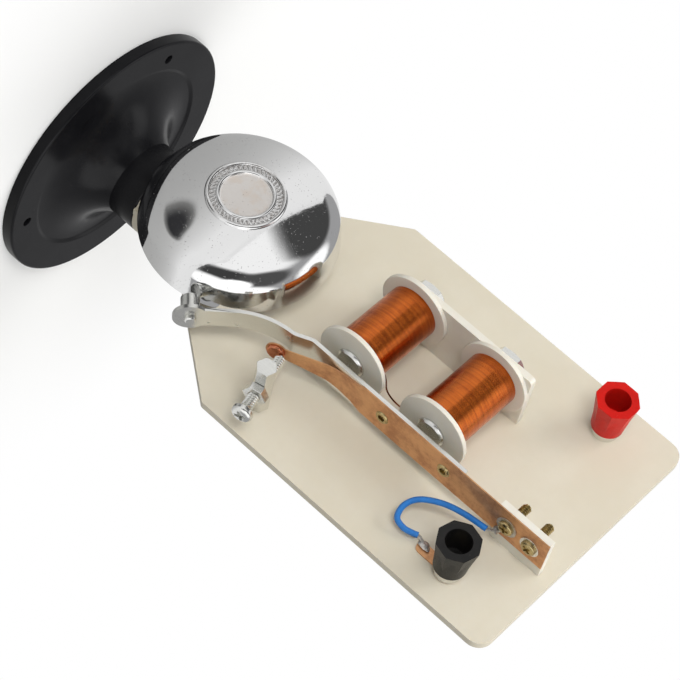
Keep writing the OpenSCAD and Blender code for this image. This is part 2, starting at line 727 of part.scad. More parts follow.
module leaf_spring() {
    half = armature_w / 2;
    root = half - 1.4;
    neck = 2.3;
    eye = spring_end[0];
    outline = [[armature_h - half, flexure_z], [armature_h + half, flexure_z],
        [armature_h + half, spring_step_z + 1], [armature_h + root, spring_step_z - 1.5],
        [armature_h + neck, eye.y + 3.6], [armature_h + neck, eye.y], [armature_h - neck, eye.y],
        [armature_h - neck, eye.y + 3.6], [armature_h - root, spring_step_z - 3],
        [armature_h - half, spring_step_z + 1]];
    color(copper) difference() {
        union() {
            trim_width(outline) bent_strip(spring_line, spring_t);
            at_rivet() translate([0, 0, -contact_eye_t / 2])
                cylinder(r = contact_eye_r, h = contact_eye_t, $fn = small);
        }
        at_rivet() translate([0, 0, -2]) cylinder(r = rivet_hole_r + fit, h = 4, $fn = small);
        for (z = eyelet_z)
            along_x(spring_x - 1, armature_h, z) cylinder(r = eyelet_hole_r, h = 3, $fn = small);
    }
}

module eyelets() {
    barrel = eyelet_hole_r - fit;
    lip = 0.5;
    lip_in_r = barrel + 0.1;
    lip_out_r = barrel + 0.6;
    bore_r = barrel - 0.6;
    through = armature_t + spring_t;
    color(brass) for (z = eyelet_z) along_x(armature_x, armature_h, z) difference() {
        union() {
            cylinder(r = barrel, h = through, $fn = small);
            translate([0, 0, through]) cylinder(r1 = lip_out_r, r2 = lip_in_r, h = lip, $fn = small);
            translate([0, 0, -lip]) cylinder(r1 = lip_in_r, r2 = lip_out_r, h = lip, $fn = small);
        }
        translate([0, 0, -1]) cylinder(r = bore_r, h = through + 2, $fn = small);
    }
}

module contact_rivet() {
    s = contact_eye_t / 2;
    r = rivet_head_r;
    t = rivet_head_t;
    tail_t = 0.5;
    tail_in_r = rivet_hole_r + 0.2;
    tail_out_r = rivet_hole_r + 0.6;
    color([0.72, 0.36, 0.24]) at_rivet() {
        rotate_extrude($fn = small) polygon([[0, s], [r, s], [r, s + 0.6 * t], [r - 0.3, s + 0.92 * t],
            [r - 0.8, s + t], [0, s + t]]);
        translate([0, 0, -s]) cylinder(r = rivet_hole_r, h = 2 * s + eps, $fn = small);
        translate([0, 0, -s - tail_t]) cylinder(r1 = tail_in_r, r2 = tail_out_r, h = tail_t, $fn = small);
    }
}

// ---------------------------------------------------------------- spring clamp

module spring_clamped_end() {
    low = flexure_z + flexure_gap / 2;
    color(copper) difference() {
        translate([spring_x, front_y - armature_h - armature_w / 2, low])
            cube([spring_t, armature_w, block_z1 - low]);
        for (z = clamp_screw_z)
            along_x(spring_x - 1, clamp_screw_h, z) cylinder(d = screw_d + 2 * loose, h = 3, $fn = small);
    }
}

// An upright plate under the spring, with a foot on the panel behind it
module spring_block() {
    x0 = spring_x - block_t;
    length = block_z1 - block_z0;
    color(white) difference() {
        union() {
            translate([x0, front_y - block_h, block_z0]) cube([block_t, block_h, length]);
            translate([x0 - block_foot_l, front_y - block_foot_h, block_z0])
                cube([block_foot_l + eps, block_foot_h, block_foot_w]);
        }
        for (z = clamp_screw_z) along_x(x0 - 1, clamp_screw_h, z)
            cylinder(d = screw_d + 2 * loose, h = block_t + 2, $fn = small);
        for (z = block_screw_z) on_panel(block_screw_x, z, -eps)
            cylinder(d = screw_d + 2 * fit, h = block_screw_grip + 0.2, $fn = small);
    }
}

block_screw_x = spring_x - block_t - block_foot_l / 2;
block_screw_z = [block_z0 + 3.2, block_z0 + block_foot_w - 3.2];

// One screw clamps the solder tag, the other one sits on a washer
module clamp_screws() {
    seats = [spring_x + spring_t + tag_t, spring_x + spring_t + clamp_washer_t];
    color(brass) for (i = [0, 1]) along_x(seats[i], clamp_screw_h, clamp_screw_z[i])
        pan_screw(screw_d, seats[i] - clamp_screw_tip_x, clamp_head_d, clamp_head_t);
}

// Nuts on the far side of the plate
module clamp_nuts() {
    color(brass) for (z = clamp_screw_z) along_x(spring_x - block_t - clamp_nut_t, clamp_screw_h, z)
        rotate(30) hex_nut(nut_af, screw_d + 2 * fit, clamp_nut_t);
}

module clamp_washer() {
    color(steel) along_x(spring_x + spring_t, clamp_screw_h, clamp_screw_z[1])
        washer(clamp_washer_d, screw_d + 2 * loose, clamp_washer_t);
}

// Flat tag: a ring round a screw with a tail that ends in a round of radius tail_r
module tag(ring_d, hole_d, reach, tail_r, t) {
    difference() {
        union() {
            cylinder(d = ring_d, h = t, $fn = small);
            translate([0, -tail_r, 0]) cube([reach, 2 * tail_r, t]);
            translate([reach, 0, 0]) cylinder(r = tail_r, h = t, $fn = small);
        }
        translate([0, 0, -eps]) cylinder(d = hole_d, h = t + 2 * eps, $fn = small);
    }
}

solder_tag_reach = 5;
solder_tag_r = 1.1;
solder_tag_turn = -30;      // turn of its tail from level, on the face of the spring

module solder_tag() {
    color([0.75, 0.74, 0.72]) translate([spring_x + spring_t, front_y - clamp_screw_h, clamp_screw_z[0]])
        rotate([90, 0, 90]) rotate(solder_tag_turn)
            tag(washer_d, screw_d + 2 * loose, solder_tag_reach, solder_tag_r, tag_t);
}

// ---------------------------------------------------------------- contact post and screw

// The tip ends just short of the plane of the rivet's face
rivet_normal = outward(spring_end[1]);
rivet_crown = spring_end[0] + (contact_eye_t / 2 + rivet_head_t) * rivet_normal;
tip_lean = contact_screw_d / 2 * sin(abs(spring_end[1] - contact_tilt));
tip_reach = (([post_x, post_z] - rivet_crown) * rivet_normal - contact_gap - tip_lean)
    / (outward(contact_tilt) * rivet_normal);
head_reach = 11;
lock_nut_reach = post_af / 2 + running;

// Puts a part on the contact screw's axis, at a distance beyond the post, pointing at its head
module on_contact_axis(reach) {
    translate([post_x, front_y - armature_h, post_z]) rotate([0, 90 - contact_tilt, 0])
        translate([0, 0, reach]) children();
}

// Hexagonal post, turned so that the contact screw runs square through two of its flats
module contact_post() {
    bevel = 0.4;
    ac = post_af / cos(30);
    color(steel) difference() {
        on_panel(post_x, post_z) intersection() {
            rotate(30 + contact_tilt) hex_prism(post_af, post_h);
            cylinder(d1 = ac + 2 * post_h - bevel, d2 = ac - bevel, h = post_h, $fn = small);
        }
        on_panel(post_x, post_z, -eps) cylinder(d = screw_d + 2 * fit, h = screw_grip + 0.5, $fn = small);
        on_contact_axis(-post_af) cylinder(d = contact_screw_d + 2 * fit, h = 2 * post_af, $fn = small);
    }
}

module contact_screw() {
    taper = 0.5;
    color(steel) on_contact_axis(head_reach) {
        pan_screw(contact_screw_d, head_reach + tip_reach - taper, contact_head_d, contact_head_t);
        translate([0, 0, -head_reach - tip_reach])
            cylinder(d1 = contact_screw_d - taper, d2 = contact_screw_d, h = taper + eps, $fn = small);
    }
}

module lock_nut() {
    color(steel) on_contact_axis(lock_nut_reach) hex_nut(lock_nut_af, contact_screw_d + 2 * fit, lock_nut_t);
}

// ---------------------------------------------------------------- binding posts

stud_back = washer_t + terminal_nut_t + 2.2;
cap_floor = 2.6;
cap_seat_red = collar_t + running;
cap_seat_black = tag_t + collar_t + running;
stud_front = cap_seat_black + cap_floor + 0.6;
red_place = [-terminal_x, terminal_z_red];
black_place = [terminal_x, terminal_z_black];
terminal_places = [red_place, black_place];

module stud(p) {
    color(brass) behind_panel(p.x, p.y) translate([0, 0, -panel_t - stud_front])
        cylinder(d = stud_d, h = stud_back + panel_t + stud_front, $fn = small);
}

// Cap: a round skirt that spreads into eight points round a wide recess
module cap(seat, p, turn) {
    points = 8;
    spread = 0.74;              // width of the skirt's lower end, as a share of its top
    valley = 0.93;              // radius between two points, as a share of theirs
    top_r = cap_d / 2;
    star = [for (i = [0:2 * points - 1]) let (a = 180 * i / points, r = top_r * (i % 2 == 0 ? 1 : valley))
        [r * cos(a), r * sin(a)]];
    on_panel(p.x, p.y, seat) rotate(turn) difference() {
        union() {
            cylinder(r1 = spread * top_r, r2 = 0.97 * valley * top_r, h = cap_h - 0.6, $fn = small);
            translate([0, 0, cap_h]) mirror([0, 0, 1])
                linear_extrude(cap_h - 1.5, scale = spread) polygon(star);
        }
        translate([0, 0, cap_floor]) cylinder(d = cap_recess_d, h = cap_h, $fn = small);
        translate([0, 0, -eps]) cylinder(d = stud_d + 2 * fit, h = cap_h, $fn = small);
    }
}

// Round collars that hold the studs from the front; the black one stands on the tag
module terminal_collars() {
    bevel = 0.4;
    r = collar_d / 2;
    color(steel) for (p = terminal_places)
        on_panel(p.x, p.y, p == black_place ? tag_t : 0) difference() {
            rotate_extrude($fn = small)
                polygon([[0, 0], [r, 0], [r, collar_t - bevel], [r - bevel, collar_t], [0, collar_t]]);
            translate([0, 0, -eps]) cylinder(d = stud_d + 2 * fit, h = collar_t + 1, $fn = small);
        }
}

module terminal_washers() {
    color(steel) for (p = terminal_places)
        behind_panel(p.x, p.y) washer(2.2 * stud_d, stud_d + 2 * loose, washer_t);
}

module terminal_nuts() {
    color(steel) for (p = terminal_places) behind_panel(p.x, p.y) translate([0, 0, washer_t])
        hex_nut(terminal_nut_af, stud_d + 2 * fit, terminal_nut_t);
}

terminal_tag_reach = 9.6;
terminal_tag_r = 1.9;

module terminal_tag() {
    color(copper) on_panel(black_place.x, black_place.y)
        rotate(-90) tag(collar_d - 0.6, stud_d + 2 * loose, terminal_tag_reach, terminal_tag_r, tag_t);
}

// ---------------------------------------------------------------- lead

// Route of the blue lead from the terminal tag to the solder tag, as [x, height over the panel, z]
lead_route = [[33.5, 2.2, 157.2], [34.4, 2.4, 155.2], [35.2, 3, 152.6], [34.6, 4.2, 149.8], [31, 5.7, 149],
    [26.9, 6.4, 151], [23.2, 6.7, 156.4], [21.3, 6.9, 162.8], [20, 6.4, 170]];
lead_d = 1.8;
strand_d = 0.9;

function on_front(p) = [p.x, front_y - p.y, p.z];

module blue_lead() {
    color([0.15, 0.45, 0.80]) tube([for (p = smooth(lead_route, 5)) on_front(p)], lead_d / 2, 8);
}

// Bare tinned ends of the lead, soldered to the two tags
tag_end_low = [terminal_x - 0.7, tag_t + strand_d / 2, terminal_z_black - terminal_tag_reach];
tag_end_high = [spring_x + spring_t + tag_t + strand_d / 2,
    clamp_screw_h - solder_tag_reach * cos(solder_tag_turn),
    clamp_screw_z[0] + solder_tag_reach * sin(solder_tag_turn)];

// Bare strand that leaves a lead's end along its direction and lies down on a tag
module bare_end(from, before, seat, on) {
    out = unit(from - before);
    tube([for (p = [from + 0.03 * out, from + 0.7 * out, seat, on]) on_front(p)], strand_d / 2, 8,
        [1, 0, 0]);
}

module lead_ends() {
    last = len(lead_route) - 1;
    color([0.75, 0.74, 0.72]) {
        bare_end(lead_route[0], lead_route[1], tag_end_low, tag_end_low + [0, 0, 1.6]);
        bare_end(lead_route[last], lead_route[last - 1], tag_end_high, tag_end_high + [0, -0.6, 0.9]);
    }
}

// ---------------------------------------------------------------- screws behind the panel

// Place of each rear screw as [x, z] and its length inside what it holds
rear_screw_places = [[0, gong_z, screw_grip], [post_x, post_z, screw_grip],
    [block_screw_x, block_screw_z[0], block_screw_grip], [block_screw_x, block_screw_z[1], block_screw_grip]];

module rear_screws() {
    color(steel) for (p = rear_screw_places)
        behind_panel(p.x, p.y) translate([0, 0, washer_t]) pan_screw(screw_d, washer_t + panel_t + p.z);
}

module rear_washers() {
    color(steel) for (p = rear_screw_places)
        behind_panel(p.x, p.y) washer(washer_d, screw_d + 2 * loose, washer_t);
}

// ---------------------------------------------------------------- one line per node

base();
base_screw();
panel();
gong();
gong_boss();
gong_pillar();
bobbin(coil_low_z);  // bobbin_low
bobbin(coil_high_z);  // bobbin_high
winding(coil_low_z);  // winding_low
winding(coil_high_z);  // winding_high
core(coil_low_z);  // core_low
core(coil_high_z);  // core_high
core_bolts();
coil_bracket();
bracket_screws();
bracket_nuts();
coil_link_wire();
armature();
hammer();
leaf_spring();
eyelets();
contact_rivet();
spring_clamped_end();
spring_block();
clamp_screws();
clamp_nuts();
clamp_washer();
solder_tag();
contact_post();
contact_screw();
lock_nut();
stud(red_place);  // stud_red
stud(black_place);  // stud_black
color([0.85, 0.12, 0.08]) cap(cap_seat_red, red_place, 22.5);  // cap_red
color([0.09, 0.09, 0.09]) cap(cap_seat_black, black_place, 8);  // cap_black
terminal_collars();
terminal_washers();
terminal_nuts();
terminal_tag();
blue_lead();
lead_ends();
rear_screws();
rear_washers();
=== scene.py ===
"""Looks of an electric bell demonstrator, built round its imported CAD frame.

Everything is in metres in the CAD's own frame: X across the panel, -Y out of its front, Z up.
"""

import json
import logging
import math
from collections.abc import Callable, Sequence
from dataclasses import dataclass
from enum import Enum

import bmesh
import bpy
from mathutils import Matrix, Vector

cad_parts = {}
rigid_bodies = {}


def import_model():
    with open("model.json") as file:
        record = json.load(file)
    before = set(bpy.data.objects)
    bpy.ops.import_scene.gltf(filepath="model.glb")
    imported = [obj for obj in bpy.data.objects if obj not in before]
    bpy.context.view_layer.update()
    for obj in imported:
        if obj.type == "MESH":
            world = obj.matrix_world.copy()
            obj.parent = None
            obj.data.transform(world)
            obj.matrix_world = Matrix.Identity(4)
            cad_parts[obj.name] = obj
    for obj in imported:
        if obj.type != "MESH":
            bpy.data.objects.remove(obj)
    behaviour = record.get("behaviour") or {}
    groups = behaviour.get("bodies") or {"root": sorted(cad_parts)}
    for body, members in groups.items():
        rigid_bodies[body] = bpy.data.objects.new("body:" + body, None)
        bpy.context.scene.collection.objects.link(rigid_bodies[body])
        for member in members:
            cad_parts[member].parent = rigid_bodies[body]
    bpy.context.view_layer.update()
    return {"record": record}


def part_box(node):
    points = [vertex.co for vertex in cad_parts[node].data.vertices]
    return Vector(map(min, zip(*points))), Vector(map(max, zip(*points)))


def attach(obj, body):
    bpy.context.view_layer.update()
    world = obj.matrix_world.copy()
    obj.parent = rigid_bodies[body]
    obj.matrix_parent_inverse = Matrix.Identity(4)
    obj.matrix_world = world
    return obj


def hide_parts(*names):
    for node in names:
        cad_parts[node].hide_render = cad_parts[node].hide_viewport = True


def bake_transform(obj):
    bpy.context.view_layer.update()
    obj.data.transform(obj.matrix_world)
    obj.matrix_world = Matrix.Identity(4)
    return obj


LOG = logging.getLogger("electric_bell")
MM = 0.001
MERGE = 0.002 * MM
FINE_MERGE = 0.001 * MM
WHITE = (1.0, 1.0, 1.0)
EVEN = (1, 1, 1)
Pair = tuple[float, float]
Triple = tuple[float, float, float]
Piece = bpy.types.Object
Socket = bpy.types.NodeSocket


class Body(Enum):
    """The bodies of the frame that new pieces ride on."""

    FRAME = "frame_body"
    ARMATURE = "armature_body"
    CONTACT_SCREW = "contact_screw_body"
    LOCK_NUT = "lock_nut_body"
    CAP_RED = "cap_red_body"
    CAP_BLACK = "cap_black_body"


# -------- materials


class Nodes:
    """A node tree in the making."""

    def __init__(self, tree: bpy.types.NodeTree) -> None:
        """Start from an empty tree."""
        self.tree = tree
        tree.nodes.clear()

    def node(self, kind: str, **settings: object) -> bpy.types.Node:
        """Add a node and set its attributes.

        Args:
            kind: The node's type name.
            settings: Attributes to set on it.

        Returns:
            The new node.
        """
        made = self.tree.nodes.new(kind)
        for key, value in settings.items():
            setattr(made, key, value)
        return made

    def link(self, source: Socket, target: Socket) -> None:
        """Join two sockets."""
        self.tree.links.new(source, target)

    def feed(self, target: Socket, value: object) -> None:
        """Give a socket a value, or link it where the value is another socket.

        Args:
            target: The socket to fill.
            value: A number, a colour, a vector or a socket.
        """
        if isinstance(value, Socket):
            self.link(value, target)
        elif isinstance(value, tuple) and len(value) == 3 and target.type == "RGBA":
            target.default_value = (*value, 1.0)
        else:
            target.default_value = value

    def step(self, kind: str, inputs: dict[int | str, object], output: int | str = 0,
             **settings: object) -> Socket:
        """Add a node, fill its inputs and take one of its outputs.

        Args:
            kind: The node's type name.
            inputs: A number, colour, vector or socket for each input that is filled.
            output: The output that is taken.
            settings: Attributes to set on the node.

        Returns:
            The output's socket.
        """
        made = self.node(kind, **settings)
        for key, value in inputs.items():
            self.feed(made.inputs[key], value)
        return made.outputs[output]

    def vectors(self, operation: str, a: Socket, b: Sequence[float] = (0, 0, 0), output: int = 0) -> Socket:
        """Add one step of vector arithmetic, of which output 0 is a vector and 1 a number."""
        return self.step("ShaderNodeVectorMath", {0: a, 1: b}, output, operation=operation)

    def maths(self, operation: str, a: object, b: object = 0.0) -> Socket:
        """Add one step of arithmetic on numbers or sockets."""
        return self.step("ShaderNodeMath", {0: a, 1: b}, operation=operation)

    def times(self, a: object, b: object) -> Socket:
        """Multiply two numbers or sockets."""
        return self.maths("MULTIPLY", a, b)

    def plus(self, a: object, b: object) -> Socket:
        """Add two numbers or sockets."""
        return self.maths("ADD", a, b)

    def between(self, value: object, low: float, high: float, to_low: float = 0.0,
                to_high: float = 1.0) -> Socket:
        """Step smoothly from to_low to to_high while a value crosses from low to high."""
        ends = {"From Min": low, "From Max": high, "To Min": to_low, "To Max": to_high}
        return self.step("ShaderNodeMapRange", {"Value": value, **ends}, interpolation_type="SMOOTHSTEP")

    def blend(self, factor: object, a: object, b: object) -> Socket:
        """Mix two colours, the factor being the second one's weight."""
        return self.step("ShaderNodeMix", {0: factor, 6: a, 7: b}, 2, data_type="RGBA")


class Shader(Nodes):
    """A material in the making, its patterns on object coordinates."""

    def __init__(self, name: str) -> None:
        """Start a material with one principled shader.

        Args:
            name: The material's name.
        """
        self.material = bpy.data.materials.new(name)
        self.material.use_nodes = True
        super().__init__(self.material.node_tree)
        self.surface = self.node("ShaderNodeBsdfPrincipled")
        self.output = self.node("ShaderNodeOutputMaterial").inputs["Surface"]
        self.link(self.surface.outputs[0], self.output)
        self.place = self.node("ShaderNodeTexCoord").outputs["Object"]

    def put(self, **values: object) -> None:
        """Set inputs of the principled shader, written with underscores for spaces."""
        for key, value in values.items():
            self.feed(self.surface.inputs[key.replace("_", " ")], value)

    def mapped(self, centre: Sequence[float] = (0, 0, 0), scale: Sequence[float] = (1, 1, 1),
               turn: Sequence[float] = (0, 0, 0)) -> Socket:
        """Measure object coordinates from a centre, then turn and scale them."""
        moved = self.vectors("SUBTRACT", self.place, centre)
        return self.step("ShaderNodeMapping", {"Vector": moved, "Rotation": turn, "Scale": scale})

    def noise(self, grain: float, detail: float = 3.0, rough: float = 0.5,
              vector: Socket | None = None) -> Socket:
        """Lay soft noise about one grain wide, with finer octaves of a given roughness."""
        look = {"Scale": 1 / grain, "Detail": detail, "Roughness": rough}
        return self.step("ShaderNodeTexNoise", {"Vector": vector or self.place, **look}, "Fac")

    def dots(self, grain: float, inner: float, outer: float) -> Socket:
        """Scatter dots about one grain apart, full to one radius and faded at another, in grains."""
        away = self.step("ShaderNodeTexVoronoi", {"Vector": self.place, "Scale": 1 / grain}, "Distance")
        return self.between(away, inner, outer, 1, 0)

    def bump(self, height: Socket, depth: float, strength: float) -> None:
        """Add relief to the surface on top of what is there.

        Args:
            height: Socket from 0 to 1.
            depth: Depth of the relief in metres.
            strength: Weight from 0 to 1.
        """
        look = {"Strength": strength, "Distance": depth, "Height": height}
        normal = self.surface.inputs["Normal"]
        if normal.is_linked:
            look["Normal"] = normal.links[0].from_socket
        self.link(self.step("ShaderNodeBump", look), normal)

    def radius(self, centre: Sequence[float]) -> Socket:
        """Measure the distance from an axis parallel to Y.

        Args:
            centre: A point of the axis.

        Returns:
            Socket of the distance in metres.
        """
        parts = self.node("ShaderNodeSeparateXYZ")
        self.link(self.mapped(centre), parts.inputs[0])
        x, z = parts.outputs["X"], parts.outputs["Z"]
        return self.maths("SQRT", self.plus(self.times(x, x), self.times(z, z)))


@dataclass(frozen=True)
class Moulding:
    """Moulded plastic with mottled colour, dust or dirt specks and a fine skin."""

    name: str
    colour: Triple
    shade: Triple
    speck: Triple
    roughness: float = 0.4
    shine: float = 0.4
    mottle: float = 9 * MM
    speck_grain: float = 2.2 * MM
    speck_size: float = 0.09
    skin: float = 0.02 * MM
    scatter: float = 0.0
    scatter_depth: Triple = (1.2 * MM, 0.9 * MM, 0.6 * MM)
    fine_share: float = 0.25

    def build(self) -> bpy.types.Material:
        """Make the material.

        Returns:
            The material.
        """
        s = Shader(self.name)
        broad = s.between(s.noise(self.mottle, 4, 0.6), 0.3, 0.7)
        fine = s.between(s.noise(self.mottle / 14, 5, 0.7), 0.35, 0.75)
        tone = s.blend(broad, self.colour, self.shade)
        tone = s.blend(s.times(fine, self.fine_share), tone, self.shade)
        specks = s.dots(self.speck_grain, self.speck_size * 0.5, self.speck_size)
        rare = s.between(s.noise(self.speck_grain * 2.7, 2), 0.55, 0.62)
        s.put(Base_Color=s.blend(s.times(specks, rare), tone, self.speck), Specular_IOR_Level=self.shine,
              Roughness=s.between(fine, 0, 1, self.roughness * 0.85, min(self.roughness * 1.25, 1)))
        if self.scatter:
            s.put(Subsurface_Weight=self.scatter, Subsurface_Scale=1.0, Subsurface_Radius=self.scatter_depth)
        s.bump(s.noise(self.mottle / 22, 3, 0.6), self.skin, 0.5)
        return s.material


@dataclass(frozen=True)
class Metal:
    """Bare or plated metal with drawn lines along one axis, stains and a fine relief."""

    name: str
    colour: Triple
    stain: Triple
    roughness: float = 0.3
    along: Triple = (1, 1, 0.06)
    stain_grain: float = 5 * MM
    stain_from: float = 0.52
    stain_to: float = 0.68
    stain_dulls: float = 0.12
    line_grain: float = 0.35 * MM
    line_share: float = 0.16
    relief: float = 0.008 * MM
    metallic: float = 1.0

    def build(self) -> bpy.types.Material:
        """Make the material.

        Returns:
            The material.
        """
        s = Shader(self.name)
        lines = s.noise(self.line_grain, 4, 0.65, s.mapped(scale=self.along))
        blotch = s.noise(self.stain_grain, 6, 0.62)
        mottled = s.noise(self.stain_grain / 5, 4, 0.7)
        dirt = s.plus(s.times(blotch, 0.72), s.times(mottled, 0.28))
        cover = s.between(dirt, self.stain_from, self.stain_to)
        tone = s.blend(s.between(lines, 0.3, 0.7, 0.0, self.line_share), self.colour, self.stain)
        rough = s.between(lines, 0.2, 0.8, self.roughness * 0.85, self.roughness * 1.15)
        s.put(Base_Color=s.blend(cover, tone, self.stain), Metallic=self.metallic,
              Roughness=s.plus(rough, s.times(cover, self.stain_dulls)))
        s.bump(lines, self.relief, 0.5)
        return s.material


@dataclass(frozen=True)
class ChromedBell:
    """Polished chrome with pits and fine scratches, a dull, rosy middle where it has worn, and painted shade
    with grime in patches on the roped band.
    """

    name: str
    axis: Triple
    worn_radius: float
    worn_edge: float = 0.3 * MM
    band_begins: Pair = (8.8 * MM, 9.4 * MM)
    band_ends: Pair = (10.5 * MM, 12.2 * MM)
    colour: Triple = (0.86, 0.86, 0.86)
    worn: Triple = (0.82, 0.74, 0.67)
    # tone of the painted shade with grime on the roped band
    band_shade_and_grime: Triple = (0.42, 0.38, 0.35)
    dirt: Triple = (0.14, 0.12, 0.11)
    band_shade_and_grime_cover: float = 0.55
    dirt_cover: float = 0.75
    polish: float = 0.05
    worn_dulls: float = 0.26
    band_dulls: float = 0.16
    haze_dulls: float = 0.07
    hair_dulls: float = 0.1
    pit_dulls: float = 0.3

    def build(self) -> bpy.types.Material:
        """Make the material.

        Returns:
            The material.
        """
        s = Shader(self.name)
        radius = s.radius(self.axis)
        middle = s.between(radius, self.worn_radius - self.worn_edge, self.worn_radius + self.worn_edge, 1, 0)
        cloud = s.between(s.noise(5 * MM, 5, 0.6), 0.42, 0.66)
        haze = s.between(s.noise(2.2 * MM, 5, 0.75), 0.5, 0.72)
        band = s.times(s.between(radius, *self.band_begins), s.between(radius, *self.band_ends, 1, 0))
        # painted shade with grime: patches of the roped band are darkened
        band_shade_and_grime = s.times(band, s.between(s.noise(0.7 * MM, 4, 0.7), 0.4, 0.6))
        pit = s.times(s.dots(0.8 * MM, 0.08, 0.16), s.between(s.noise(4 * MM, 3), 0.45, 0.57))
        scratch = s.noise(0.16 * MM, 2, 0.5, s.mapped(scale=(1, 0.04, 0.25), turn=(0.3, 0.7, 0.4)))
        hair = s.between(scratch, 0.66, 0.7)
        tone = s.blend(s.times(middle, s.between(cloud, 0, 1, 0.5, 0.95)), self.colour, self.worn)
        tone = s.blend(s.times(band_shade_and_grime, self.band_shade_and_grime_cover), tone, self.band_shade_and_grime)
        tone = s.blend(s.times(pit, self.dirt_cover), tone, self.dirt)
        rough = s.plus(s.plus(s.times(middle, self.worn_dulls), s.times(band, self.band_dulls)),
                       s.plus(s.times(haze, self.haze_dulls), s.times(hair, self.hair_dulls)))
        rough = s.plus(s.plus(rough, s.times(pit, self.pit_dulls)), self.polish)
        s.put(Base_Color=tone, Metallic=1.0, Roughness=rough)
        s.bump(s.noise(9 * MM, 2), 0.08 * MM, 0.35)
        s.bump(haze, 0.008 * MM, 0.3)
        s.bump(s.times(pit, -1.0), 0.03 * MM, 0.6)
        return s.material


@dataclass(frozen=True)
class Enamel:
    """Varnished copper wire: each stretch a little different, under a clear gloss."""

    name: str
    colour: Triple = (0.66, 0.155, 0.018)
    dark: Triple = (0.34, 0.055, 0.006)
    roughness: float = 0.17
    metallic: float = 0.95
    gloss: float = 0.25

    def build(self) -> bpy.types.Material:
        """Make the material.

        Returns:
            The material.
        """
        s = Shader(self.name)
        turns = s.noise(0.7 * MM, 3, 0.6, s.mapped(scale=(1, 0.02, 0.02)))
        patch = s.noise(3 * MM, 3, 0.6)
        depth = s.plus(s.between(turns, 0.35, 0.7, 0, 0.5), s.between(patch, 0.45, 0.7, 0, 0.25))
        s.put(Base_Color=s.blend(depth, self.colour, self.dark), Metallic=self.metallic,
              Roughness=s.between(patch, 0.3, 0.7, self.roughness, self.roughness * 1.25),
              Coat_Weight=self.gloss, Coat_Roughness=0.1)
        return s.material


class Finishes:
    """Every finish of the apparatus, each made once and shared by the pieces that have it."""

    def __init__(self, bell_axis: Triple) -> None:
        """Make the materials, named as the record's slots.

        Args:
            bell_axis: A point of the bell's axis.
        """
        kinds = (
            Moulding("black_base", (0.005, 0.005, 0.006), (0.008, 0.008, 0.009), (0.12, 0.11, 0.10), 0.22,
                     shine=0.2, speck_grain=4 * MM, speck_size=0.035, skin=0.002 * MM),
            Moulding("ivory_panel", (0.69, 0.64, 0.525), (0.655, 0.60, 0.48), (0.26, 0.2, 0.13), 0.45,
                     shine=0.3, mottle=24 * MM, speck_grain=9 * MM, speck_size=0.03, scatter=0.1),
            ChromedBell("chromed_bell", bell_axis, 7.6 * MM),
            Metal("plated_steel", (0.80, 0.80, 0.77), (0.56, 0.55, 0.51), 0.24,
                  stain_from=0.55, stain_to=0.8, relief=0.004 * MM),
            Moulding("white_plastic", (0.77, 0.74, 0.66), (0.73, 0.69, 0.60), (0.4, 0.34, 0.25), 0.42,
                     shine=0.35, mottle=12 * MM, speck_grain=6 * MM, speck_size=0.03, scatter=0.25),
            Enamel("enamelled_wire"),
            Enamel("wire_in_shade", (0.25, 0.06, 0.015), (0.12, 0.03, 0.01)),
            Metal("iron", (0.74, 0.74, 0.72), (0.44, 0.43, 0.40), 0.22, stain_grain=2 * MM),
            Metal("copper_strip", (0.72, 0.39, 0.19), (0.47, 0.22, 0.105), 0.34, stain_grain=7 * MM,
                  stain_from=0.40, stain_to=0.66, relief=0.006 * MM, metallic=0.85),
            Metal("copper_rivet", (0.66, 0.25, 0.13), (0.40, 0.13, 0.07), 0.26, EVEN, 1.6 * MM),
            Metal("brass", (0.52, 0.41, 0.20), (0.24, 0.18, 0.09), 0.27, EVEN, 1.8 * MM),
            Metal("tinned_metal", (0.60, 0.58, 0.55), (0.30, 0.27, 0.25), 0.3, EVEN, 1.2 * MM,
                  stain_from=0.45),
            Moulding("blue_cover", (0.025, 0.19, 0.56), (0.02, 0.15, 0.46), (0.3, 0.4, 0.5),
                     mottle=3 * MM, speck_size=0.03),
            Moulding("red_cap", (0.60, 0.010, 0.006), (0.50, 0.008, 0.005), (0.7, 0.3, 0.25), 0.42,
                     shine=0.2, mottle=4 * MM, speck_size=0.03),
            Moulding("black_cap", (0.008, 0.008, 0.008), (0.014, 0.013, 0.012), (0.2, 0.18, 0.15),
                     shine=0.22, mottle=4 * MM, speck_size=0.05),
        )
        self.made = {kind.name: kind.build() for kind in kinds}

    def named(self, name: str) -> bpy.types.Material:
        """Find a finish by its name, which is the slot's name for all but the wire in shade."""
        return self.made[name]


# -------- modelling by hand


def added(name: str, data: bpy.types.ID) -> Piece:
    """Make an object and link it to the scene.

    Args:
        name: The object's name.
        data: Its mesh, curve, camera or lamp.

    Returns:
        The object.
    """
    made = bpy.data.objects.new(name, data)
    bpy.context.scene.collection.objects.link(made)
    return made


def deselect() -> None:
    """Leave edit mode and select nothing."""
    if bpy.context.mode != "OBJECT":
        bpy.ops.object.mode_set(mode="OBJECT")
    for each in bpy.context.view_layer.objects:
        each.select_set(False)


def activate(piece: Piece) -> None:
    """Select one object alone and make it active.

    Args:
        piece: The object.
    """
    deselect()
    piece.select_set(True)
    bpy.context.view_layer.objects.active = piece


def primitive(add: Callable[..., set[str]], **settings: object) -> Piece:
    """Add a primitive with nothing else selected.

    Args:
        add: The operator that adds it.
        settings: The operator's settings.

    Returns:
        The new object.
    """
    deselect()
    add(**settings)
    return bpy.context.active_object


def edit(piece: Piece, action: str = "SELECT") -> None:
    """Open a piece in edit mode with all of it selected, or with none.

    Args:
        piece: The mesh object.
        action: SELECT or DESELECT.
    """
    activate(piece)
    bpy.ops.object.mode_set(mode="EDIT")
    bpy.ops.mesh.select_all(action=action)


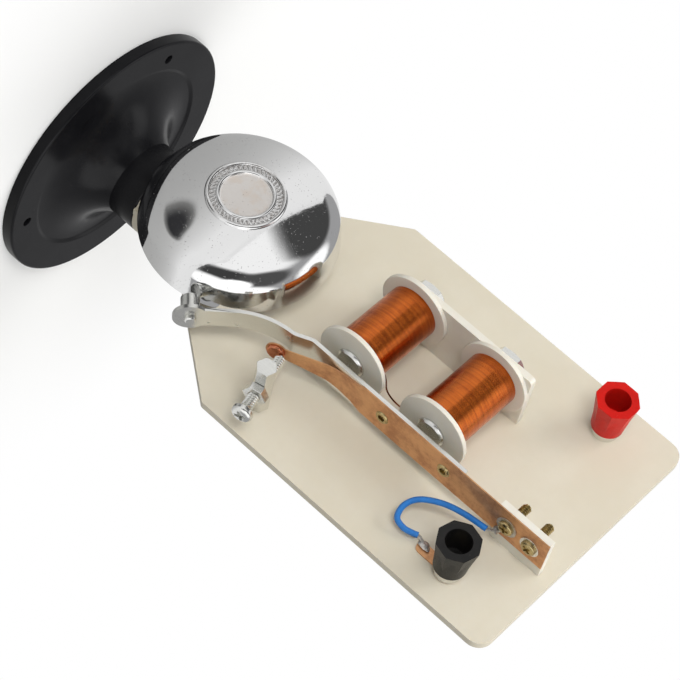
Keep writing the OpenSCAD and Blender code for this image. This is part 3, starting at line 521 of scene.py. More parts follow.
def finish_mesh(piece: Piece, smooth_angle: float) -> None:
    """Merge doubles, turn all faces outwards and shade smooth up to an angle.

    Args:
        piece: The mesh object.
        smooth_angle: Edges sharper than this stay sharp, in degrees.
    """
    edit(piece)
    bpy.ops.mesh.remove_doubles(threshold=MERGE)
    bpy.ops.mesh.normals_make_consistent(inside=False)
    bpy.ops.object.mode_set(mode="OBJECT")
    bpy.ops.object.shade_smooth_by_angle(angle=math.radians(smooth_angle))
    deselect()


def pointing(origin: Sequence[float], direction: Sequence[float], turn: float = 0.0) -> Matrix:
    """Find the place that puts a piece's own +Z along a direction.

    Args:
        origin: Where the piece's origin goes.
        direction: Where its +Z points.
        turn: Turn about that direction, in radians.

    Returns:
        The placing matrix.
    """
    turned_to = Vector(direction).normalized().to_track_quat("Z", "Y").to_matrix().to_4x4()
    return Matrix.Translation(Vector(origin)) @ turned_to @ Matrix.Rotation(turn, 4, "Z")


def turned(name: str, points: Sequence[Pair], place: Matrix, steps: int, smooth_angle: float) -> Piece:
    """Draw an outline by extruding one vertex, turn it round +Z and put the solid in place.

    Args:
        name: The object's name.
        points: Radius and height of each point of the outline.
        place: Where the solid goes.
        steps: Facets round the axis.
        smooth_angle: Edges sharper than this stay sharp, in degrees.

    Returns:
        The finished object, its place in its mesh.
    """
    piece = primitive(bpy.ops.mesh.primitive_circle_add, vertices=3, radius=1 * MM)
    piece.name = name
    bpy.ops.object.mode_set(mode="EDIT")
    mesh = bmesh.from_edit_mesh(piece.data)
    for spare in list(mesh.verts)[1:]:
        mesh.verts.remove(spare)
    mesh.verts.ensure_lookup_table()
    mesh.verts[0].co = (points[0][0], 0, points[0][1])
    mesh.verts[0].select = True
    bmesh.update_edit_mesh(piece.data)
    for before, after in zip(points, points[1:]):
        step = (after[0] - before[0], 0, after[1] - before[1])
        bpy.ops.mesh.extrude_region_move(TRANSFORM_OT_translate={"value": step})
    bpy.ops.mesh.select_all(action="SELECT")
    bpy.ops.mesh.spin(steps=steps, angle=math.tau, center=(0, 0, 0), axis=(0, 0, 1))
    deselect()
    piece.data.transform(place)
    finish_mesh(piece, smooth_angle)
    return piece


def arc(centre: Pair, radius: float, start: float, end: float, steps: int) -> list[Pair]:
    """Find the points of an arc, with angles in degrees from the +radius direction."""
    angles = [math.radians(start + (end - start) * i / steps) for i in range(steps + 1)]
    return [(centre[0] + radius * math.cos(a), centre[1] + radius * math.sin(a)) for a in angles]


def joined(name: str, pieces: Sequence[Piece]) -> Piece:
    """Join objects into one.

    Args:
        name: The whole's name.
        pieces: The objects, of which the first stays.

    Returns:
        The whole.
    """
    deselect()
    for piece in pieces:
        piece.select_set(True)
    bpy.context.view_layer.objects.active = pieces[0]
    bpy.ops.object.join()
    pieces[0].name = name
    deselect()
    return pieces[0]


def apply_modifier(piece: Piece, kind: str, **settings: object) -> None:
    """Add a modifier, set it up and apply it.

    Args:
        piece: The object.
        kind: The modifier's type name.
        settings: Attributes to set on it.
    """
    activate(piece)
    modifier = piece.modifiers.new(kind.lower(), kind)
    for key, value in settings.items():
        setattr(modifier, key, value)
    bpy.ops.object.modifier_apply(modifier=modifier.name)
    deselect()


def shade_flats(piece: Piece) -> None:
    """Shade smooth, with the flat faces kept flat beside their broken edges.

    Args:
        piece: The mesh object.
    """
    activate(piece)
    bpy.ops.object.shade_smooth_by_angle(angle=math.radians(30))
    apply_modifier(piece, "WEIGHTED_NORMAL", mode="FACE_AREA", weight=100, keep_sharp=True)


def cut_box(piece: Piece, size: Triple, place: Matrix) -> None:
    """Cut a box out of a piece.

    Args:
        piece: The piece.
        size: The box's three edges.
        place: Where its middle goes.
    """
    cutter = primitive(bpy.ops.mesh.primitive_cube_add, size=1)
    cutter.data.transform(place @ Matrix.Diagonal((*size, 1)))
    apply_modifier(piece, "BOOLEAN", operation="DIFFERENCE", solver="EXACT", object=cutter)
    bpy.data.objects.remove(cutter)


def merged_copy(node: str, name: str) -> Piece:
    """Copy a CAD node with its triangles merged into whole faces.

    Args:
        node: The CAD node.
        name: The copy's name.

    Returns:
        The copy, without a material.
    """
    piece = added(name, bpy.data.objects[node].data.copy())
    piece.data.materials.clear()
    activate(piece)
    if piece.data.has_custom_normals:
        bpy.ops.mesh.customdata_custom_splitnormals_clear()
    edit(piece)
    bpy.ops.mesh.remove_doubles(threshold=FINE_MERGE)
    bpy.ops.mesh.dissolve_limited(angle_limit=math.radians(0.6))
    deselect()
    return piece


def tube(name: str, line: Sequence[Vector], radius: float, ring: int) -> Piece:
    """Run a round tube along a line, closed at both ends.

    Args:
        name: The object's name.
        line: Its centre line.
        radius: Its radius.
        ring: Fineness of its roundness.

    Returns:
        The tube as a mesh.
    """
    curve = bpy.data.curves.new(name + "_line", "CURVE")
    curve.dimensions = "3D"
    curve.bevel_depth, curve.bevel_resolution, curve.use_fill_caps = radius, ring, True
    spline = curve.splines.new("POLY")
    spline.points.add(len(line) - 1)
    for point, place in zip(spline.points, line):
        point.co = (*place, 1)
    piece = added(name, curve)
    activate(piece)
    bpy.ops.object.convert(target="MESH")
    finish_mesh(piece, 50)
    return piece


# -------- stage


@dataclass(frozen=True)
class Room:
    """What metal mirrors: a bright window ahead, dim walls and dark corners."""

    # direction of each patch, where its edge begins and ends as cosines, and its brightness
    patches: tuple[tuple[Triple, float, float, float], ...] = (
        ((-0.10, -0.97, 0.16), 0.78, 0.95, 1.0),
        ((0.62, -0.70, 0.36), 0.86, 0.95, 0.05),
        ((-0.72, -0.66, 0.22), 0.86, 0.95, 0.06),
        ((0.20, -0.62, 0.76), 0.88, 0.96, 0.08),
        ((0.55, 0.15, 0.82), 0.86, 0.95, 1.3),
        ((-0.55, -0.1, 0.83), 0.90, 0.97, 1.2),
        ((0.93, -0.20, 0.30), 0.88, 0.96, 1.2),
        ((0.66, -0.42, 0.62), 0.955, 0.99, 1.6),
    )
    walls: Triple = (0.36, 0.36, 0.365)
    plain: Triple = (0.52, 0.52, 0.52)

    def build(self) -> None:
        """Set the world up: white to the camera, plain light to dull things, the room to metal."""
        world = bpy.data.worlds.new("room")
        bpy.context.scene.world = world
        world.use_nodes = True
        s = Nodes(world.node_tree)
        path = s.node("ShaderNodeLightPath").outputs
        towards = s.node("ShaderNodeTexCoord").outputs["Generated"]
        colour = self.walls
        for direction, begin, end, bright in self.patches:
            near = s.vectors("DOT_PRODUCT", towards, Vector(direction).normalized(), 1)
            colour = s.blend(s.between(near, begin, end), colour, (bright, bright, bright))
        seen = s.blend(path["Is Glossy Ray"], self.plain, colour)
        room, white = (s.step("ShaderNodeBackground", {"Color": tone}) for tone in (seen, WHITE))
        mix = s.step("ShaderNodeMixShader", {0: path["Is Camera Ray"], 1: room, 2: white})
        s.link(mix, s.node("ShaderNodeOutputWorld").inputs["Surface"])


@dataclass(frozen=True)
class Floor:
    """Floor that is pale to the camera and fades into white; in mirrors it shows painted reflections: a grey
    tone, a dark patch and a glow that brightens outwards.
    """

    radius: float = 3.0
    pale: Triple = (0.86, 0.86, 0.85)
    # grey tone that everything but the camera sees: a painted grey reflection in the metal
    dim: Triple = (0.24, 0.24, 0.235)
    white_from: Pair = (0.05, 0.16)
    # glow that only mirrors see, brightening outwards: a painted reflection
    bright_from: Pair = (0.05, 0.27)
    brightness: Pair = (0.24, 0.82)
    # dark patch on the floor in front of the panel that only mirrors see: a painted dark reflection
    dark: Triple = (0.02, 0.02, 0.022)
    dark_at: Triple = (0.033, -0.1, 0)
    dark_edge: Pair = (0.016, 0.04)

    def build(self) -> None:
        """Lay the floor and give it its finish."""
        floor = primitive(bpy.ops.mesh.primitive_circle_add, vertices=96, radius=self.radius,
                          fill_type="NGON")
        floor.name = "floor"
        s = Shader("pale_floor")
        away = s.vectors("LENGTH", s.place, output=1)
        beside = s.vectors("DISTANCE", s.place, self.dark_at, 1)
        path = s.node("ShaderNodeLightPath").outputs
        seen, mirrored = path["Is Camera Ray"], path["Is Glossy Ray"]
        # painted dark reflection: the dark patch, seen only in mirrors
        dark = s.times(s.between(beside, *self.dark_edge, 1, 0), mirrored)
        tone = s.blend(dark, s.blend(seen, self.dim, self.pale), self.dark)
        s.put(Base_Color=tone, Roughness=0.8, Specular_IOR_Level=0.2)
        light = s.step("ShaderNodeEmission", {"Color": WHITE})
        # painted reflection: in mirrors the floor glows, brighter further out
        far = s.times(s.between(away, *self.bright_from, *self.brightness), mirrored)
        fade = s.plus(s.times(s.between(away, *self.white_from), seen),
                      s.maths("MAXIMUM", s.maths("SUBTRACT", far, dark), 0.0))
        s.link(s.step("ShaderNodeMixShader", {0: fade, 1: s.surface.outputs[0], 2: light}), s.output)
        floor.data.materials.append(s.material)
        deselect()


@dataclass(frozen=True)
class Lamp:
    """Soft square lamp that faces a point and that metal does not mirror."""

    name: str
    place: Triple
    size: float
    watts: float

    def build(self, aim: Triple) -> None:
        """Hang the lamp.

        Args:
            aim: The point that it faces.
        """
        data = bpy.data.lights.new(self.name, "AREA")
        data.shape, data.size, data.energy = "SQUARE", self.size, self.watts
        lamp = added(self.name, data)
        lamp.visible_glossy = False
        lamp.matrix_world = pointing(self.place, Vector(self.place) - Vector(aim))


@dataclass(frozen=True)
class Stage:
    """Camera at the photograph's angle, floor, surroundings and lamps."""

    eye: Triple = (0.3629, -0.6098, 0.3091)
    right: Triple = (-0.6716, -0.1483, 0.7259)
    down: Triple = (0.5536, 0.5508, 0.6247)
    focal_pixels: float = 2518.5
    frame_pixels: float = 680.0
    sensor: float = 36.0
    sight: Pair = (0.01, 20.0)
    aim: Triple = (0.0, -0.01, 0.1)
    lamps: tuple[Lamp, ...] = (
        Lamp("key_light", (0.25, -1.15, 0.45), 0.5, 8.0),
        Lamp("fill_light", (-0.75, -0.7, 0.75), 0.7, 5.5),
        Lamp("top_light", (0.1, 0.35, 1.1), 0.6, 5.0),
    )

    def build(self) -> None:
        """Set up the view, the floor and the light."""
        self.camera()
        Floor().build()
        Room().build()
        for lamp in self.lamps:
            lamp.build(self.aim)
        bpy.context.scene.view_settings.view_transform = "Standard"

    def camera(self) -> None:
        """Place the camera where the photograph was taken from."""
        data = bpy.data.cameras.new("photo_camera")
        data.sensor_width = self.sensor
        data.lens = self.focal_pixels / self.frame_pixels * self.sensor
        data.clip_start, data.clip_end = self.sight
        camera = added("photo_camera", data)
        right, up = Vector(self.right).normalized(), -Vector(self.down).normalized()
        back = right.cross(up).normalized()
        place = Matrix((right, back.cross(right), back)).transposed().to_4x4()
        camera.matrix_world = Matrix.Translation(self.eye) @ place
        bpy.context.scene.camera = camera


# -------- sub-assemblies


@dataclass(frozen=True)
class Plan:
    """Places shared by the sub-assemblies, the same as the CAD's."""

    front: float = -5.7 * MM
    gong_z: float = 54.1 * MM
    post: Pair = (34.5 * MM, 96.6 * MM)
    contact_tilt: float = math.radians(13.5)
    armature_h: float = 10.6 * MM
    coil_z: Pair = (109.4 * MM, 140.3 * MM)
    coil_h: float = 13.2 * MM

    def on_front(self, x: float, h: float, z: float) -> Vector:
        """Find the point at height h over the panel's front."""
        return Vector((x, self.front - h, z))


PLAN = Plan()


@dataclass(frozen=True)
class Assembly:
    """A sub-assembly, dressed in the apparatus's finishes."""

    finishes: Finishes

    def settle(self, piece: Piece, body: Body | None, slot: str, *nodes: str, finish: str = "") -> None:
        """Put a finished piece on its body and dress it, and let it stand for its CAD nodes.

        Args:
            piece: The piece.
            body: The body that it rides on, None for a piece that spans two bodies and is put on neither.
            slot: The record's material slot, which names its finish.
            nodes: The CAD nodes that it replaces.
            finish: Name of a finish other than the slot's own.
        """
        if body:
            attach(piece, body.value)
        piece.data.materials.clear()
        piece.data.materials.append(self.finishes.named(finish or slot))
        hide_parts(*nodes)
        LOG.info("%s: %d faces in %s", piece.name, len(piece.data.polygons), slot)


@dataclass(frozen=True)
class Broken:
    """How the sharp edges of a CAD piece are broken, and what it rides on and wears."""

    node: str
    slot: str
    width: float = 0.12 * MM
    body: Body = Body.FRAME
    segments: int = 2
    angle: float = 34.0
    finish: str = ""


@dataclass(frozen=True)
class Gong(Assembly):
    """Bell pressed from sheet: steep skirt, rounded shoulder, shallow dome and a roped ring."""

    rim_r: float = 30.2 * MM
    rim_h: float = 10.4 * MM
    crease_at: Pair = (28.885 * MM, 17.486 * MM)
    shoulder_r: float = 10 * MM
    dome_r: float = 70 * MM
    dome_centre: float = -43.206 * MM
    wall: float = 1.4 * MM
    seat_r: float = 12.2 * MM
    floor_rise: float = 0.3 * MM
    # distance from the axis, rise over the seat and thickness of the ring and of the torus in it
    ring: Triple = (11.45 * MM, 0.3 * MM, 0.75 * MM)
    torus: Triple = (8.35 * MM, 0.35 * MM, 0.65 * MM)
    disc_r: Pair = (7.3 * MM, 6.9 * MM)
    disc_sinks: float = 0.04 * MM
    steps: int = 192
    side_steps: int = 20
    ridges: int = 46
    ridge_at: float = 9.9 * MM
    ridge_size: Triple = (2.3 * MM, 0.78 * MM, 0.9 * MM)
    ridge_slant: float = math.radians(32)

    def shoulder_tilt(self) -> float:
        """Find the angle from the axis at which the dome runs into the shoulder.

        Returns:
            The angle in radians.
        """
        reach, x, z = self.dome_r - self.shoulder_r, self.crease_at[0], self.crease_at[1] - self.dome_centre
        spread = (reach ** 2 + x * x + z * z - self.shoulder_r ** 2) / (2 * reach * math.hypot(x, z))
        return math.atan2(x, z) - math.acos(spread)

    def side(self, inset: float, to_r: float) -> list[Pair]:
        """Draw the half section from the rim to a radius on the dome.

        Args:
            inset: Distance in from the outside.
            to_r: The radius where it ends.

        Returns:
            Radius and height of each point.
        """
        tilt, radius = self.shoulder_tilt(), self.dome_r - inset
        reach = self.dome_r - self.shoulder_r
        middle = (reach * math.sin(tilt), self.dome_centre + reach * math.cos(tilt))
        crease = math.degrees(math.atan2(self.crease_at[1] - middle[1], self.crease_at[0] - middle[0]))
        begin, end = 90 - math.degrees(tilt), 90 - math.degrees(math.asin(to_r / radius))
        return ([(self.rim_r - inset, self.rim_h)]
                + arc(middle, self.shoulder_r - inset, crease, begin, self.side_steps)
                + arc((0, self.dome_centre), radius, begin, end, self.side_steps)[1:])

    def build(self) -> None:
        """Turn the bell, rope its ring and put both in place."""
        seat = self.dome_centre + math.sqrt(self.dome_r ** 2 - self.seat_r ** 2)
        floor = seat + self.floor_rise
        outline = self.side(self.wall, 0.0)[::-1] + self.side(0, self.seat_r)
        for (at, rise, thick), steps in ((self.ring, 12), (self.torus, 10)):
            outline += arc((at, seat + rise), thick, 0, 180, steps)
        outline += [(self.disc_r[0], floor), (self.disc_r[1], floor - self.disc_sinks), (0, floor)]
        place = pointing(PLAN.on_front(0, 0, PLAN.gong_z), (0, -1, 0))
        bell = turned("bell", outline, place, self.steps, 34)
        whole = joined("gong_bell", [bell, self.rope(floor, place)])
        self.settle(whole, Body.FRAME, "chromed_bell", "gong")

    def rope(self, floor: float, place: Matrix) -> Piece:
        """Lay slanted ridges between the ring and the torus, like a rope round the middle.

        Args:
            floor: Height of the ground that they stand on.
            place: Place of the bell.

        Returns:
            All ridges as one mesh.
        """
        shape = (Matrix.Translation((self.ridge_at, 0, floor)) @ Matrix.Rotation(self.ridge_slant, 4, "Z")
                 @ Matrix.Diagonal((*self.ridge_size, 1)))
        made = []
        for i in range(self.ridges):
            ridge = primitive(bpy.ops.mesh.primitive_uv_sphere_add, segments=8, ring_count=6, radius=0.5)
            ridge.data.transform(place @ Matrix.Rotation(math.tau * i / self.ridges, 4, "Z") @ shape)
            made.append(ridge)
        rope = joined("rope", made)
        activate(rope)
        bpy.ops.object.shade_smooth()
        return rope


@dataclass(frozen=True)
class Winding(Assembly):
    """Coil of varnished wire, its turns lying close side by side."""

    low_end: float = -14.9 * MM
    length: float = 25.3 * MM
    outer_r: float = 8.55 * MM
    inner_r: float = 4.9 * MM
    turns: int = 88
    groove: float = 0.035 * MM
    # outline of one turn: share of the pitch and depth under the crest in grooves
    turn: tuple[Pair, ...] = ((0.04, 1.0), (0.22, 0.3), (0.5, 0.0), (0.78, 0.3))
    end_drop: float = 0.2 * MM
    swell: float = 0.012 * MM
    swell_waves: tuple[Pair, Pair] = ((1.0, 0.21), (0.5, 0.63))
    phases: Pair = (0.0, 1.9)
    steps: int = 72

    def outline(self, phase: float) -> list[Pair]:
        """Draw the half section, a little fuller in some places than in others.

        Args:
            phase: Where the swelling begins, in radians.

        Returns:
            Radius and height of each point, closed.
        """
        pitch = self.length / self.turns
        drop = sum(weight for weight, _ in self.swell_waves)
        points = [(self.inner_r, 0.0)]
        for i in range(self.turns):
            wave = sum(weight * math.sin(i * rate + k * phase)
                       for k, (weight, rate) in enumerate(self.swell_waves, 1))
            crest = self.outer_r + self.swell * (wave - drop)
            points += [(crest - depth * self.groove, (i + at) * pitch) for at, depth in self.turn]
        points += [(self.outer_r - self.end_drop, self.length), (self.inner_r, self.length)]
        return points + [points[0]]

    def build(self) -> None:
        """Turn both windings."""
        for name, z, phase in zip(("winding_low", "winding_high"), PLAN.coil_z, self.phases):
            place = pointing(PLAN.on_front(self.low_end, PLAN.coil_h, z), (1, 0, 0))
            piece = turned(name + "_turns", self.outline(phase), place, self.steps, 80)
            self.settle(piece, Body.FRAME, "enamelled_wire", name)


@dataclass(frozen=True)
class PanScrew:
    """Machine screw: domed head with a cross slot, and a helical thread."""

    size: float
    length: float
    head_d: float
    head_t: float
    pitch: float
    chamfer: float = 0.2 * MM
    # shares of the pitch, of the head's thickness and of its diameter
    depth: float = 0.6
    edge: float = 0.42
    slot_depth: float = 0.5
    crown: float = 0.3
    flat: float = 0.15
    slot: Pair = (0.58, 0.17)

    def build(self, name: str, place: Matrix) -> Piece:
        """Model the screw, its seat at the place's origin and its head along +Z.

        Args:
            name: The object's name.
            place: Where it goes.

        Returns:
            The screw.
        """
        root, cut = self.size / 2 - self.depth * self.pitch, self.chamfer
        d, t = self.head_d, self.head_t
        edge = self.edge * t
        dome = [(d / 2 - self.crown * d * (1 - math.cos(a)), edge + (t - edge) * math.sin(a))
                for a in (math.radians(k) for k in range(0, 85, 12))]
        outline = [(0, -self.length), (root - cut, -self.length), (root, cut - self.length), (root, 0),
                   (d / 2 - cut / 2, 0), (d / 2, cut / 2), *dome, (self.flat * d, t), (0, t)]
        screw = turned(name, outline, place, 40, 40)
        deep = self.slot_depth * t
        for turn in (0, math.pi / 2):
            middle = Matrix.Translation((0, 0, t - deep / 2 + cut / 2)) @ Matrix.Rotation(turn, 4, "Z")
            cut_box(screw, (self.slot[0] * d, self.slot[1] * d, deep + cut), place @ middle)
        return joined(name, [screw, self.thread(root, place)])

    def thread(self, root: float, place: Matrix) -> Piece:
        """Wind the ridge of the thread, one closed screw surface that ends below the seat.

        Args:
            root: Radius of the shank that it stands on.
            place: Place of the seat, the thread running along its -Z.

        Returns:
            The ridge.
        """
        length = self.length - self.chamfer
        foot, half = root - 0.05 * MM, 0.46 * self.pitch
        ridge = primitive(bpy.ops.mesh.primitive_circle_add, vertices=3, radius=self.pitch)
        for vertex, (x, z) in zip(ridge.data.vertices, ((foot, -half), (self.size / 2, 0), (foot, half))):
            vertex.co = (x, 0, z)
        apply_modifier(ridge, "SCREW", axis="Z", angle=math.tau, screw_offset=self.pitch, steps=20,
                       render_steps=20, iterations=max(1, int(length / self.pitch) - 1),
                       use_merge_vertices=False)
        edit(ridge)
        bpy.ops.mesh.remove_doubles(threshold=FINE_MERGE)
        bpy.ops.mesh.fill_holes(sides=3)
        deselect()
        ridge.data.transform(place @ Matrix.Translation((0, 0, half - length)))
        finish_mesh(ridge, 40)
        return ridge


@dataclass(frozen=True)
class Screws(Assembly):
    """The contact screw and the clamp screws, turned anew with their threads."""

    contact_size: float = 3.6 * MM
    contact_reach: float = 11 * MM
    contact_head: Pair = (6.48 * MM, 2.1 * MM)
    contact_pitch: float = 0.8 * MM
    contact_turn: float = 0.35
    contact_tip_in: float = 0.25 * MM
    clamp_size: float = 3 * MM
    clamp_head: Pair = (4.95 * MM, 1.2 * MM)
    clamp_pitch: float = 0.7 * MM
    clamp_tip_x: float = 7.9 * MM
    clamp_h: float = 10.2 * MM
    clamp_washer: float = 0.4 * MM
    # height on the panel and turn of each clamp screw
    clamps: tuple[Pair, Pair] = ((174.4 * MM, 0.2), (182.8 * MM, 0.95))

    def build(self) -> None:
        """Model the contact screw and the clamp screws."""
        self.contact()
        self.clamp()

    def contact(self) -> None:
        """Model the contact screw, from its head to the tip at the rivet."""
        tilt = PLAN.contact_tilt
        axis = Vector((math.cos(tilt), 0, math.sin(tilt)))
        low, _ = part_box("contact_screw")
        tip_r = self.contact_size / 2 - self.contact_tip_in
        tip_reach = (PLAN.post[0] - low.x - tip_r * math.sin(tilt)) / math.cos(tilt)
        seat = PLAN.on_front(PLAN.post[0], PLAN.armature_h, PLAN.post[1]) + self.contact_reach * axis
        screw = PanScrew(self.contact_size, self.contact_reach + tip_reach, *self.contact_head,
                         self.contact_pitch)
        piece = screw.build("contact_screw_threaded", pointing(seat, axis, self.contact_turn))
        self.settle(piece, Body.CONTACT_SCREW, "plated_steel", "contact_screw")

    def clamp(self) -> None:
        """Model the two brass screws that clamp the spring, their tips behind the plate."""
        _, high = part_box("spring_clamped_end")
        seat = high.x + self.clamp_washer
        screw = PanScrew(self.clamp_size, seat - self.clamp_tip_x, *self.clamp_head, self.clamp_pitch)
        pieces = [screw.build("clamp_screw", pointing(PLAN.on_front(seat, self.clamp_h, z), (1, 0, 0), turn))
                  for z, turn in self.clamps]
        self.settle(joined("clamp_screws_threaded", pieces), Body.FRAME, "brass", "clamp_screws")


@dataclass(frozen=True)
class Strip(Assembly):
    """Leaf spring and its clamped root as the one copper strip that they are."""

    bends_from: float = 170.0 * MM
    bends_to: float = 156.8 * MM
    loop_pitch: float = 1.3 * MM
    end_slack: float = 0.01 * MM

    def build(self) -> None:
        """Join both lengths at the hinge line and cut loops across the free length between them."""
        root_box, leaf_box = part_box("spring_clamped_end"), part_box("leaf_spring")
        root, free = merged_copy("spring_clamped_end", "strip"), merged_copy("leaf_spring", "strip_free")
        self.open_end(root, root_box[0].z)
        self.open_end(free, leaf_box[1].z)
        strip = joined("copper_strip_whole", [root, free])
        edit(strip, "DESELECT")
        bpy.ops.mesh.select_mode(type="EDGE")
        bpy.ops.mesh.select_non_manifold()
        bpy.ops.mesh.bridge_edge_loops()
        z = self.bends_to
        while z <= self.bends_from:
            bpy.ops.mesh.select_all(action="SELECT")
            bpy.ops.mesh.bisect(plane_co=(0, 0, z), plane_no=(0, 0, 1))
            z += self.loop_pitch
        bpy.ops.mesh.select_all(action="SELECT")
        bpy.ops.mesh.normals_make_consistent(inside=False)
        shade_flats(strip)
        self.settle(strip, None, "copper_strip", "leaf_spring", "spring_clamped_end")
        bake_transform(strip)

    def open_end(self, piece: Piece, z: float) -> None:
        """Take the flat end face at a height away.

        Args:
            piece: The strip.
            z: The end face's height.
        """
        edit(piece, "DESELECT")
        bpy.ops.mesh.select_mode(type="FACE")
        mesh = bmesh.from_edit_mesh(piece.data)
        for face in mesh.faces:
            face.select = all(abs(v.co.z - z) < self.end_slack for v in face.verts)
        bmesh.update_edit_mesh(piece.data)
        bpy.ops.mesh.delete(type="FACE")
        deselect()


@dataclass(frozen=True)
class Lead(Assembly):
    """Blue lead from the tag of the black binding post to the tag on the spring block."""

    # x, height over the panel's front and z of the points that the lead runs through
    route: tuple[Triple, ...] = (
        (0.0335, 0.0022, 0.1572), (0.0344, 0.0024, 0.1552), (0.0352, 0.0030, 0.1526),
        (0.0346, 0.0042, 0.1498), (0.0310, 0.0057, 0.1490), (0.0269, 0.0064, 0.1510),
        (0.0232, 0.0067, 0.1564), (0.0213, 0.0069, 0.1628), (0.0200, 0.0064, 0.1700))
    diameter: float = 1.8 * MM
    steps: int = 8
    low_tag: Triple = (0.0339, 0.00085, 0.1603)
    high_tag: Triple = (0.01825, 0.00587, 0.1719)
    low_lump: Triple = (1.3 * MM, 0.75 * MM, 2.1 * MM)
    high_lump: Triple = (0.6 * MM, 1.0 * MM, 1.3 * MM)
    lump_turns: Pair = (0.15, 0.5)
    strand_count: int = 5
    strand_r: float = 0.17 * MM
    strand_off: float = 0.27 * MM
    strand_steps: int = 14
    strand_twist: float = 3.4
    strand_knee: float = 0.7 * MM

    def path(self) -> list[Vector]:
        """Draw a smooth line through the route's points.

        Returns:
            Points in the row frame.
        """
        p = [PLAN.on_front(*point) for point in self.route]
        line: list[Vector] = []
        for i in range(len(p) - 1):
            a, b, c, d = p[max(i - 1, 0)], p[i], p[i + 1], p[min(i + 2, len(p) - 1)]
            for j in range(self.steps):
                t = j / self.steps
                line.append(0.5 * (2 * b + (c - a) * t + (2 * a - 5 * b + 4 * c - d) * t * t
                                   + (3 * b - a - 3 * c + d) * t ** 3))
        return line + [p[-1]]

    def build(self) -> None:
        line = self.path()
        piece = tube("blue_lead_cover", line, self.diameter / 2, 6)
        self.settle(piece, Body.FRAME, "blue_cover", "blue_lead")
        low, high = PLAN.on_front(*self.low_tag), PLAN.on_front(*self.high_tag)
        bits = self.strands(line[0], line[1], low) + self.strands(line[-1], line[-2], high)
        for place, size, turn in zip((low, high), (self.low_lump, self.high_lump), self.lump_turns):
            bits.append(self.solder(place, size, turn))
        self.settle(joined("soldered_ends", bits), Body.FRAME, "tinned_metal", "lead_ends")

    def strands(self, start: Vector, inner: Vector, seat: Vector) -> list[Piece]:
        """Twist bare strands from the cover's end to a tag.

        Args:
            start: End of the cover.
            inner: Next point of the lead inside it.
            seat: Where the strands lie down.

        Returns:
            One tube for each strand.
        """
        knee = start + (start - inner).normalized() * self.strand_knee
        made = []
        for k in range(self.strand_count):
            line = []
            for i in range(self.strand_steps + 1):
                t = i / self.strand_steps
                middle = start * (1 - t) ** 2 + knee * 2 * t * (1 - t) + seat * t * t
                along = ((knee - start) * (1 - t) + (seat - knee) * t).normalized()
                side = along.orthogonal().normalized()
                a = math.tau * k / self.strand_count + self.strand_twist * t
                line.append(middle + self.strand_off * (math.cos(a) * side + math.sin(a) * along.cross(side)))
            made.append(tube(f"strand_{k}", line, self.strand_r, 2))
        return made

    @staticmethod
    def solder(place: Vector, size: Triple, turn: float) -> Piece:
        """Drop a lump of solder, uneven all round.

        Args:
            place: Its middle.
            size: Its half lengths.
            turn: Turn about the panel's normal, in radians.

        Returns:
            The lump.
        """
        lump = primitive(bpy.ops.mesh.primitive_ico_sphere_add, subdivisions=4, radius=1)
        cloud = bpy.data.textures.new("solder_lumps", "CLOUDS")
        cloud.noise_scale = 0.9
        apply_modifier(lump, "DISPLACE", texture=cloud, texture_coords="LOCAL", strength=0.55, mid_level=0.55)
        turned_to = Matrix.Rotation(turn, 4, "Y")
        lump.data.transform(Matrix.Translation(place) @ turned_to @ Matrix.Diagonal((*size, 1)))
        finish_mesh(lump, 60)
        return lump


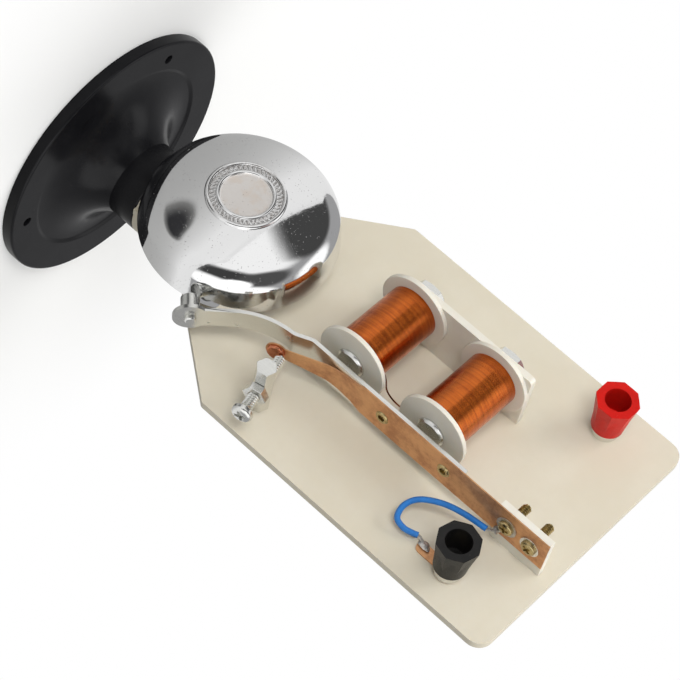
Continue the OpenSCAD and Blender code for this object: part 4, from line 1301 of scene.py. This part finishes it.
@dataclass(frozen=True)
class Frame(Assembly):
    """The CAD nodes: each dressed for its slot, and those in view given broken edges."""

    record: dict
    broken: tuple[Broken, ...] = (
        Broken("base", "black_base", 0.2 * MM),
        Broken("panel", "ivory_panel", 0.35 * MM),
        Broken("bobbin_low", "white_plastic", 0.3 * MM),
        Broken("bobbin_high", "white_plastic", 0.3 * MM),
        Broken("coil_bracket", "white_plastic", 0.35 * MM),
        Broken("spring_block", "white_plastic", 0.3 * MM),
        Broken("core_low", "iron"),
        Broken("core_high", "iron"),
        Broken("core_bolts", "plated_steel", 0.2 * MM),
        Broken("contact_post", "plated_steel", 0.15 * MM),
        Broken("terminal_collars", "plated_steel", 0.1 * MM),
        Broken("terminal_nuts", "plated_steel", 0.2 * MM),
        Broken("solder_tag", "tinned_metal", 0.08 * MM),
        Broken("terminal_tag", "copper_strip", 0.08 * MM),
        Broken("clamp_washer", "plated_steel", 0.08 * MM),
        Broken("clamp_nuts", "brass", 0.15 * MM),
        Broken("coil_link_wire", "enamelled_wire", 0.0, finish="wire_in_shade"),
        Broken("armature", "plated_steel", 0.12 * MM, Body.ARMATURE),
        Broken("hammer", "plated_steel", 0.15 * MM, Body.ARMATURE),
        Broken("eyelets", "brass", 0.1 * MM, Body.ARMATURE),
        Broken("contact_rivet", "copper_rivet", 0.08 * MM, Body.ARMATURE),
        Broken("lock_nut", "plated_steel", 0.2 * MM, Body.LOCK_NUT),
        Broken("cap_red", "red_cap", 0.3 * MM, Body.CAP_RED, 3, 14.0),
        Broken("cap_black", "black_cap", 0.3 * MM, Body.CAP_BLACK, 3, 14.0),
    )

    def build(self) -> None:
        """Dress every CAD node, then finish the pieces in view."""
        for part in self.record["subparts"]:
            node = bpy.data.objects[part["node"]]
            node.data.materials.clear()
            node.data.materials.append(self.finishes.named(part["material_slot"]))
            LOG.info("dressed %s", node.name)
        for plan in self.broken:
            piece = merged_copy(plan.node, plan.node + "_finished")
            if plan.width:
                apply_modifier(piece, "BEVEL", width=plan.width, segments=plan.segments, limit_method="ANGLE",
                               angle_limit=math.radians(plan.angle), use_clamp_overlap=True)
            shade_flats(piece)
            self.settle(piece, plan.body, plan.slot, plan.node, finish=plan.finish)


def main() -> None:
    """Build the looks of the whole apparatus."""
    logging.basicConfig(level=logging.INFO, format="%(message)s")
    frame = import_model()
    low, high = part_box("gong")
    middle = (low + high) / 2
    finishes = Finishes((middle.x, 0.0, middle.z))
    Stage().build()
    Frame(finishes, frame["record"]).build()
    for kind in (Gong, Winding, Screws, Strip, Lead):
        kind(finishes).build()


if __name__ == "__main__":
    main()
